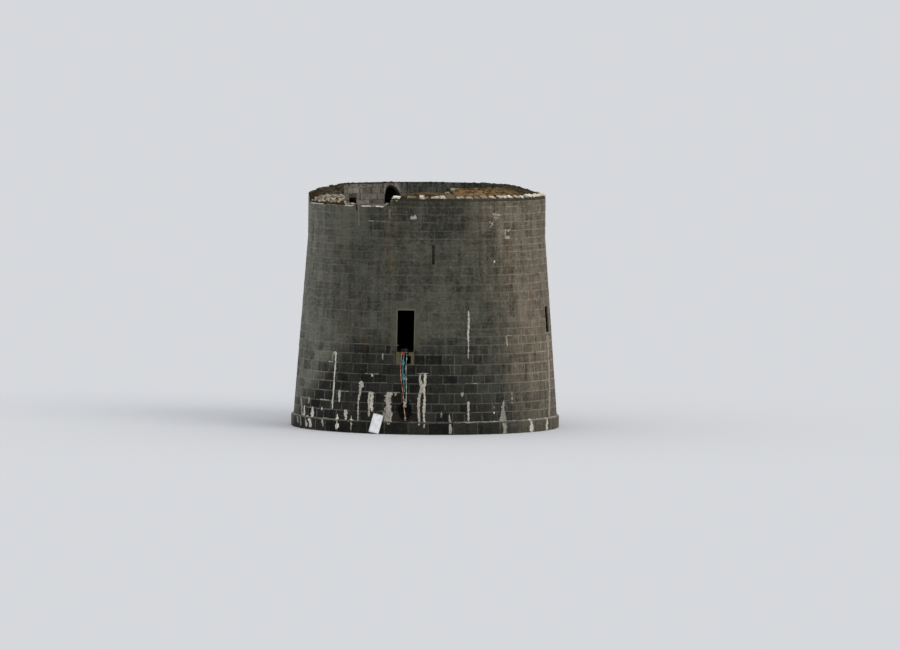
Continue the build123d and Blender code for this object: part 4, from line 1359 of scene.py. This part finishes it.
breachBed = {
    "from": 3.4, "unrolledAt": 5.2, "deep": 0.42, "shortest": 0.32, "longest": 0.7,
    "first": -34.0, "last": -7.0, "seed": 96, "faceSeed": 99, "flat": 0.01,
    "lastStart": 0.1, "lastEnd": 0.03, "crackHalf": 0.04, "crackFrom": 5.0,
    "look": {**wallLook, "joint": 0.02, "proud": 0.006, "relief": 0.006, "lift": 0.006},
}


def breachRects():
    # Flat beds of stones where the parapet has fallen, as (sideways, radius) rectangles
    rng = random.Random(breachBed["seed"])
    reach, half = breachBed["unrolledAt"], breachBed["crackHalf"]
    crackAt = reach * math.radians(courses["crack"]["bearing"])
    crack = (crackAt - half, crackAt + half, breachBed["crackFrom"], neckRadius)
    rects, radius = [], breachBed["from"]
    while radius < neckRadius - breachBed["lastStart"]:
        deep = min(radius + breachBed["deep"], neckRadius - breachBed["lastEnd"])
        u = reach * math.radians(breachBed["first"])
        while u < reach * math.radians(breachBed["last"]):
            end = u + rng.uniform(breachBed["shortest"], breachBed["longest"])
            corners = [outward(a / reach, r, 0.0) for a in (u, end) for r in (radius, deep)]
            tops = [topOf(headTree, x, y) for x, y, _ in corners]
            if all(top is not None and abs(top - breachFloor) < breachBed["flat"] for top in tops):
                rects += cutOut([(u, end, radius, deep)], crack)
            u = end
        radius = deep
    return rects


def onBreach(u, v, depth):
    return outward(u / breachBed["unrolledAt"], v, breachFloor + depth)


layStones("breach_bed_stones", breachRects(), onBreach, breachBed["look"], breachBed["faceSeed"],
          flags, "ashlar")

paving = {
    "long": 0.85, "longSpan": (0.7, 1.2), "wide": 0.55, "wideSpan": (0.85, 1.15), "margin": 0.05, "seed": 107,
    "look": {**wallLook, "joint": 0.016, "proud": 0.012, "halo": 0.05},
}


def onPaving(u, v, depth):
    return np.stack([u, v, platformLevel + depth], -1)


def pavingRects():
    rng = random.Random(paving["seed"])
    reach = lobeShift + lobeRadius
    rects, v = [], -reach
    while v < reach:
        wide = paving["wide"] * rng.uniform(*paving["wideSpan"])
        u = -reach - rng.uniform(0, paving["long"])
        while u < reach:
            long = paving["long"] * rng.uniform(*paving["longSpan"])
            corners = [Vector((x, y, 0)) for x in (u, u + long) for y in (v, v + wide)]
            gaps = [(corner - lobeCentre(bearing)).length for corner in corners for bearing in lobeBearings]
            if min(gaps) < lobeRadius + paving["margin"]:
                rects.append((u, u + long, v, v + wide))
            u += long
        v += wide
    return rects


layStones("platform_flags", pavingRects(), onPaving, paving["look"], paving["seed"], flags, "inner_stone")
print("gun platform dressed")


# Ropes, bundle and tyre under the door

ropes = {
    "diameter": 0.044, "standoff": 0.037, "startLevel": 4.075, "strands": 3, "strandShare": 0.5,
    "pitch": 0.22, "sides": 8, "step": 0.022,
    # routes give (across, level) on the wall, ends (across, in front, above) from the middle of the tyre
    "red_rope": {
        "finish": redFibre, "route": ((-0.170, 3.870), (-0.222, 3.240), (-0.128, 2.455), (-0.040, 2.035)),
        "end": ((-0.070, 0.165, 0.545), (-0.038, 0.176, 0.300), (-0.008, 0.166, 0.010),
                (0.020, 0.1573, -0.170), (0.020, 0.1573, -0.350)),
    },
    "blue_rope": {
        "finish": blueFibre, "end": (),
        "route": ((-0.060, 3.820), (-0.107, 3.150), (-0.038, 2.910), (-0.025, 2.310), (0.025, 2.160)),
    },
    "pale_rope": {
        "finish": paleFibre, "route": ((0.090, 3.870), (0.060, 3.330), (0.092, 2.700), (0.112, 2.100)),
        "end": ((0.045, 0.0, 0.6653), (0.045, 0.0, 0.4853)),
    },
}
tyre = {
    "height": 0.91, "width": 0.68, "depth": 0.20, "holeHeight": 0.50, "holeWidth": 0.29, "around": 96,
    # the casing's section: share of the way from hole to tread, share of half the depth
    "shoulder": ((0.0, 0.72), (0.03, 0.95), (0.18, 1.0), (0.5, 0.98), (0.8, 0.86), (0.95, 0.66), (1.0, 0.45)),
    "lining": ((0.06, 0.62), (0.75, 0.6)), "liningDeep": 0.86,
    "groove": 0.008, "grooveFrom": 0.9, "grooveSide": 0.2,
    # lashings: side, offset, width, thickness, turns
    "lashings": ((1, 0.0, 0.15, 0.030, 5), (-1, 0.020, 0.070, 0.022, 3)), "lashingShare": 0.48,
    "knot": {"across": 0.020, "front": 0.1573, "top": -0.350, "turns": 3.4, "radius": 0.0135, "reach": 0.0195,
             "drop": 0.034, "stepsATurn": 14},
    "tail": ((0.0, 0.19, -0.06), (0.03, 0.17, -0.2), (0.07, 0.13, -0.33), (0.09, 0.115, -0.40)),
    "tailRadius": 0.011, "tailStep": 0.016,
}
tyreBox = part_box("hanging_tyre")
tyreMiddle = (tyreBox[0] + tyreBox[1]) / 2
tyreTurn = Matrix.Rotation(-math.atan(batter), 3, "X")


def onTyre(across, front, rise):
    return tyreMiddle + tyreTurn @ Vector((across, -front, rise))


def hungAt(across, level, standoff):
    return Vector((across, -(math.sqrt(float(skin(level)) ** 2 - across * across) + standoff), level))


def ropeRoute(rope):
    points = [hungAt(across, level, ropes["standoff"]) for across, level in rope["route"]]
    points.insert(0, Vector((points[0].x, points[0].y, ropes["startLevel"])))
    return points + [onTyre(*place) for place in rope["end"]]


def smoothLine(points):
    # The rope's own NURBS line, read back as many points
    curve = bpy.data.curves.new("route", "CURVE")
    curve.dimensions = "3D"
    spline = curve.splines.new("NURBS")
    spline.points.add(len(points) - 1)
    for point, place in zip(spline.points, points):
        point.co = (*place, 1.0)
    spline.order_u = 3
    spline.use_endpoint_u = True
    spline.resolution_u = 16
    holder = bpy.data.objects.new("route", curve)
    bpy.context.scene.collection.objects.link(holder)
    bpy.context.view_layer.update()
    mesh = bpy.data.meshes.new_from_object(holder)
    line = [vertex.co.copy() for vertex in mesh.vertices]
    bpy.data.objects.remove(holder)
    bpy.data.meshes.remove(mesh)
    return line


def lengthsAlong(line):
    lengths = [0.0]
    for a, b in zip(line, line[1:]):
        lengths.append(lengths[-1] + (b - a).length)
    return lengths


def evenly(line, step):
    # The same line with points at even steps
    lengths = lengthsAlong(line)
    count = max(2, round(lengths[-1] / step))
    places, at = [], 0
    for index in range(count + 1):
        want = lengths[-1] * index / count
        while at < len(lengths) - 2 and lengths[at + 1] < want:
            at += 1
        share = (want - lengths[at]) / max(lengths[at + 1] - lengths[at], 1e-9)
        places.append(line[at].lerp(line[at + 1], share))
    return places


def framesAlong(line):
    # Each point of a line with two directions square to it, which don't twist
    frames = []
    normal = (line[1] - line[0]).orthogonal().normalized()
    for index, point in enumerate(line):
        ahead = (line[min(index + 1, len(line) - 1)] - line[max(index - 1, 0)]).normalized()
        normal = (normal - ahead * normal.dot(ahead)).normalized()
        frames.append((point, normal, ahead.cross(normal)))
    return frames


def tube(line, radius, vertices, faces):
    # A closed tube along a line, capped at both ends
    start, sides = len(vertices), ropes["sides"]
    for point, normal, side in framesAlong(line):
        for turn in range(sides):
            angle = math.tau * turn / sides
            vertices.append(tuple(point + (normal * math.cos(angle) + side * math.sin(angle)) * radius))
    faces += ringFaces(start, len(line), sides)


def strandLine(frames, share, offset, length):
    # One strand wound round a rope's line, which starts this share of a turn round it
    wound = []
    for index, (point, normal, side) in enumerate(frames):
        turn = math.tau * (share + length * index / (len(frames) - 1) / ropes["pitch"])
        wound.append(point + (normal * math.cos(turn) + side * math.sin(turn)) * offset)
    return wound


def ropePiece(name):
    rope, shape = ropes[name], ([], [])
    smooth = smoothLine(ropeRoute(rope))
    length, line = lengthsAlong(smooth)[-1], evenly(smooth, ropes["step"])
    frames, strandRadius = framesAlong(line), ropes["diameter"] / 2 * ropes["strandShare"]
    for strand in range(ropes["strands"]):
        wound = strandLine(frames, strand / ropes["strands"], ropes["diameter"] / 2 - strandRadius, length)
        tube(wound, strandRadius, *shape)
    made = makePiece(f"{name}_strands", *shape, rope["finish"], name, replaced=(name,), smoothUpTo=60)
    print(name, "is", round(length, 3), "m long")


for name in ("red_rope", "blue_rope", "pale_rope"):
    ropePiece(name)

# Slack turns tied into two ropes: level, across, reach sideways, reach up, turns, cord radius
hanks = {
    "seed": 121, "stepsATurn": 14, "swing": 0.25, "drift": 0.3, "driftPace": 0.31, "step": 0.014,
    "lift": 0.012, "wave": 0.010, "wavePace": 2.3,
    "blue_rope": ((2.91, -0.035, 0.050, 0.150, 4, 0.012), (3.02, -0.060, 0.030, 0.050, 2, 0.012),
                  (3.62, -0.082, 0.040, 0.150, 3, 0.012)),
    "pale_rope": ((3.33, 0.062, 0.028, 0.030, 3, 0.011), (2.81, 0.086, 0.030, 0.028, 3, 0.011),
                  (1.76, 0.070, 0.034, 0.030, 3, 0.011)),
}


def hankPiece(name):
    # Slack loops and knots, each a wandering line wound round one place on its rope
    rng = random.Random(hanks["seed"])
    shape = ([], [])
    for level, across, sideways, up, turns, radius in hanks[name]:
        steps = hanks["stepsATurn"] * turns
        points = []
        for step in range(steps + 1):
            turn = math.tau * turns * step / steps
            swing = 1.0 + rng.uniform(-hanks["swing"], hanks["swing"])
            aside = sideways * swing * math.sin(turn)
            aside += hanks["drift"] * sideways * math.sin(hanks["driftPace"] * turn)
            off = ropes["standoff"] + hanks["lift"] + radius
            off += hanks["wave"] * math.sin(hanks["wavePace"] * turn)
            points.append(hungAt(across + aside, level + up * swing * math.cos(turn), off))
        tube(evenly(smoothLine(points), hanks["step"]), radius, *shape)
    makePiece(f"{name}_hanks", *shape, ropes[name]["finish"], name, smoothUpTo=60)


hankPiece("blue_rope")
hankPiece("pale_rope")

bundle = {
    "turns": 19, "radius": 0.019, "seed": 118, "step": 0.016, "wallFace": 0.11, "redShare": 0.6,
    "blueEvery": 4,
    # how high over its box's foot a turn hangs, at least and how much more: red turns, then the others
    "rises": ((-0.04, 0.06), (0.04, 0.05)), "lean": 0.03, "slack": 0.012, "overlap": (0.0, 0.018),
    "headSlack": 0.03, "backSlack": 0.12, "offWall": 0.002,
}


def bundlePiece():
    # Loops of rope lashed over the door sill
    lo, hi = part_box("rope_bundle")
    rng = random.Random(bundle["seed"])
    colours = ((bundleFibre, "red_rope", "bundle_red_turns"), (paleFibre, "pale_rope", "bundle_pale_turns"),
               (blueFibre, "blue_rope", "bundle_blue_turns"))
    lots = [([], []) for _ in colours]
    radius, face = bundle["radius"], lo.y + bundle["wallFace"]
    wall = face - radius - bundle["offWall"]
    for turn in range(bundle["turns"]):
        share = turn / (bundle["turns"] - 1)
        x = lo.x + radius + (hi.x - lo.x - 2 * radius) * share
        lot = 0 if share < bundle["redShare"] else (1 if turn % bundle["blueEvery"] else 2)
        least, more = bundle["rises"][min(lot, 1)]
        rise = least + more * rng.random()
        lean, slack = rng.uniform(-bundle["lean"], bundle["lean"]), rng.uniform(0.0, bundle["slack"])
        out = lo.y + radius + slack + rng.choice(bundle["overlap"])
        lowest = lo.z + radius + rise
        top = hi.z - radius - rng.uniform(0, bundle["headSlack"])
        back = hi.y - radius - rng.uniform(0, bundle["backSlack"])
        hang = min(max(x + lean, lo.x + radius), hi.x - radius)
        loop = [(x, back, sillLevel + radius), (x, face + 0.1, sillLevel + 0.03),
                (x, face + 0.03, top - 0.01), (x, face - 0.02, top), (x, out + 0.02, top - 0.01),
                (x, out, top - 0.05), ((x + hang) / 2, out, (top + lowest) / 2),
                (hang, out + 0.006, lowest + 0.03), (hang, out + 0.03, lowest),
                (hang, face - 0.03, lowest + 0.02), (hang, wall, lowest + 0.06), (x, wall, sillLevel - 0.03)]
        tube(evenly(smoothLine(loop), bundle["step"]), radius, *lots[lot])
    for (finish, slot, name), shape in zip(colours, lots):
        makePiece(name, *shape, finish, slot, replaced=("rope_bundle",), smoothUpTo=60)


bundlePiece()


def tyrePiece():
    # A worn casing: rounded shoulders, tread blocks round the outside and a bead round the hole
    around, half = tyre["around"], tyre["depth"] / 2
    shoulder, lining = tyre["shoulder"], tyre["lining"]
    section = [(share, -side) for share, side in shoulder] + [(1.0, 0.0)]
    section += list(reversed(shoulder)) + list(lining) + [(tyre["liningDeep"], 0.0)]
    section += [(share, -side) for share, side in reversed(lining)]
    vertices = []
    for index in range(around):
        angle = math.tau * index / around
        inner = Vector((tyre["holeWidth"] / 2 * math.sin(angle), 0, tyre["holeHeight"] / 2 * math.cos(angle)))
        outer = Vector((tyre["width"] / 2 * math.sin(angle), 0, tyre["height"] / 2 * math.cos(angle)))
        groove = tyre["groove"] if index % 2 else 0.0
        for share, side in section:
            point = inner.lerp(outer, share)
            if share > tyre["grooveFrom"] and abs(side) > tyre["grooveSide"]:
                point -= (outer - inner).normalized() * groove
            point.y = side * half
            vertices.append(tuple(tyreMiddle + tyreTurn @ point))
    faces = ringFaces(0, around, len(section), closed=True)
    makePiece("tyre_casing", vertices, faces, rubber, "tyre_rubber", None, ("hanging_tyre",), 40)


def lashingPiece():
    # Turns of pale cord over the head and the foot of the casing
    shape = ([], [])
    for side, offset, width, thickness, turns in tyre["lashings"]:
        radius = tyre["lashingShare"] * thickness
        farthest = (abs(offset) + width / 2) / (tyre["holeWidth"] / 2)
        inner = tyre["holeHeight"] / 2 * math.sqrt(1 - farthest ** 2) - radius
        outer, depth = tyre["height"] / 2 + radius, tyre["depth"] / 2 + radius
        for turn in range(turns):
            x = offset + (width / 2 - radius) * (2 * turn / (turns - 1) - 1)
            corners = [(x, depth, inner), (x, depth, outer), (x, -depth, outer), (x, -depth, inner)]
            soft = []
            for corner, after in zip(corners, corners[1:] + corners[:1]):
                soft += [Vector(corner).lerp(Vector(after), share) for share in (0.04, 0.5, 0.96)]
            tube([onTyre(x, y, side * z) for x, y, z in soft + soft[:1]], radius, *shape)
    makePiece("tyre_lashing_turns", *shape, paleFibre, "pale_rope", replaced=("tyre_lashing",), smoothUpTo=60)


def knotPiece():
    # The red rope made fast at the tyre's foot
    knot, shape, coil = tyre["knot"], ([], []), []
    steps = round(knot["stepsATurn"] * knot["turns"])
    for step in range(steps + 1):
        turn = math.tau * knot["turns"] * step / steps
        rise = knot["top"] - knot["radius"] - knot["drop"] * step / steps
        front = knot["front"] - knot["reach"] * math.cos(turn)
        coil.append(onTyre(knot["across"] + knot["reach"] * math.sin(turn), front, rise))
    tube(coil, knot["radius"], *shape)
    makePiece("tyre_foot_knot", *shape, redFibre, "red_rope", replaced=("tyre_lashing",), smoothUpTo=60)


def tailPiece():
    shape = ([], [])
    tail = smoothLine([onTyre(*place) for place in tyre["tail"]])
    tube(evenly(tail, tyre["tailStep"]), tyre["tailRadius"], *shape)
    makePiece("tyre_pale_tail", *shape, paleFibre, "pale_rope", smoothUpTo=60)


tyrePiece()
lashingPiece()
knotPiece()
tailPiece()
print("ropes and tyre made")


# Notice board

board = {"cols": 9, "rows": 13, "share": 0.995, "thickShare": 0.55, "warp": 0.004, "warpTight": 1.4}


def boardPiece():
    # A thin sheet in the place of the board's solid, a little warped
    source = pointsOf("notice_board")
    middle = source.mean(0)
    axes = np.linalg.svd(source - middle, full_matrices=False)[2]
    spans = [((source - middle) @ axis).max() for axis in axes]
    rows, cols, tight = board["rows"], board["cols"], board["warpTight"]
    vertices, edges = [], []
    for side in (1, -1):
        for row in range(rows):
            for col in range(cols):
                a, b = 2 * row / (rows - 1) - 1, 2 * col / (cols - 1) - 1
                warp = board["warp"] * noise.noise(Vector((a * tight, b * tight, 3.0)))
                across = axes[0] * spans[0] * a * board["share"]
                up = axes[1] * spans[1] * b * board["share"]
                deep = axes[2] * (side * spans[2] * board["thickShare"] + warp)
                vertices.append(tuple(middle + across + up + deep))
                edges.append(min(1.0, 3 * min(1 - abs(a), 1 - abs(b))))
    layer, rim = rows * cols, rimLoop(rows, cols)
    faces = gridFaces(rows, cols) + gridFaces(rows, cols, layer)
    faces += [(rim[i - 1], rim[i], rim[i] + layer, rim[i - 1] + layer) for i in range(len(rim))]
    makePiece("board_sheet", vertices, faces, paintedBoard, "board_paint", {"edge": edges},
              ("notice_board",), 30)


boardPiece()
print("board made")


# Finishes of the CAD nodes that keep their shape, by how their names start

nodeFinishes = {
    "wall_": mortar, "plinth": mortar, "parapet_": parapetMass, "slope_worn": wornSoil, "slope_": soil,
    "coping": soil, "vault_": roomStone, "basement_floor": roomStone, "door_": dressed, "window_": ashlar,
    "platform_paving": flags, "first_floor_": timber,
}
for name, node in nodes.items():
    fitting = [finish for start, finish in nodeFinishes.items() if name.startswith(start)]
    if fitting:
        node.data.materials.clear()
        node.data.materials.append(fitting[0])


# Floor, light and camera

stage = {
    "floorSize": 9000.0, "floorTone": tone(214, 216, 218), "worldTone": tone(250, 251, 255),
    "worldStrength": 0.88, "sunColour": (1.0, 0.96, 0.9), "sunStrength": 0.9, "sunSpread": 38.0,
    "sunFrom": (62.0, 34.0), "cameraDistance": 380.0, "cameraHeight": 26.5, "cameraBearing": 9.2,
    "aimLevel": 5.2, "aimRight": 1.24, "metresPerPixel": 0.0515, "imageWidth": 900, "roll": 0.5,
    "sensor": 36.0,
}


def makeFloor():
    mesh = bpy.data.meshes.new("studio_floor")
    half = stage["floorSize"] / 2
    corners = [(-half, -half, 0), (half, -half, 0), (half, half, 0), (-half, half, 0)]
    mesh.from_pydata(corners, [], [(0, 1, 2, 3)])
    floor = bpy.data.objects.new("studio_floor", mesh)
    bpy.context.scene.collection.objects.link(floor)
    mesh.materials.append(Finish("studio_floor", roughness=1.0, specular=0.0).paint(stage["floorTone"]))


def makeLight():
    world = bpy.data.worlds.new("studio")
    bpy.context.scene.world = world
    world.use_nodes = True
    background = world.node_tree.nodes["Background"]
    background.inputs["Color"].default_value = stage["worldTone"]
    background.inputs["Strength"].default_value = stage["worldStrength"]
    lamp = bpy.data.lights.new("key", "SUN")
    lamp.energy = stage["sunStrength"]
    lamp.angle = math.radians(stage["sunSpread"])
    lamp.color = stage["sunColour"]
    key = bpy.data.objects.new("key", lamp)
    bpy.context.scene.collection.objects.link(key)
    bearing, height = (math.radians(part) for part in stage["sunFrom"])
    towards = Vector(outward(bearing, math.cos(height), math.sin(height)))
    key.rotation_euler = towards.to_track_quat("Z", "Y").to_euler()


def makeCamera():
    data = bpy.data.cameras.new("camera")
    camera = bpy.data.objects.new("camera", data)
    bpy.context.scene.collection.objects.link(camera)
    bearing = math.radians(stage["cameraBearing"])
    eye = Vector(outward(bearing, stage["cameraDistance"], stage["cameraHeight"]))
    aim = Vector((0, 0, stage["aimLevel"]))
    right = (aim - eye).cross(Vector((0, 0, 1))).normalized()
    aim += right * stage["aimRight"]
    roll = Matrix.Rotation(math.radians(stage["roll"]), 3, "Z")
    camera.location = eye
    camera.rotation_euler = ((aim - eye).to_track_quat("-Z", "Y").to_matrix() @ roll).to_euler()
    data.sensor_width = stage["sensor"]
    data.lens = stage["sensor"] * (aim - eye).length / (stage["metresPerPixel"] * stage["imageWidth"])
    data.clip_end = stage["floorSize"] * 2
    bpy.context.scene.camera = camera


makeFloor()
makeLight()
makeCamera()
bpy.context.scene.view_settings.view_transform = "Standard"
print("stage set")
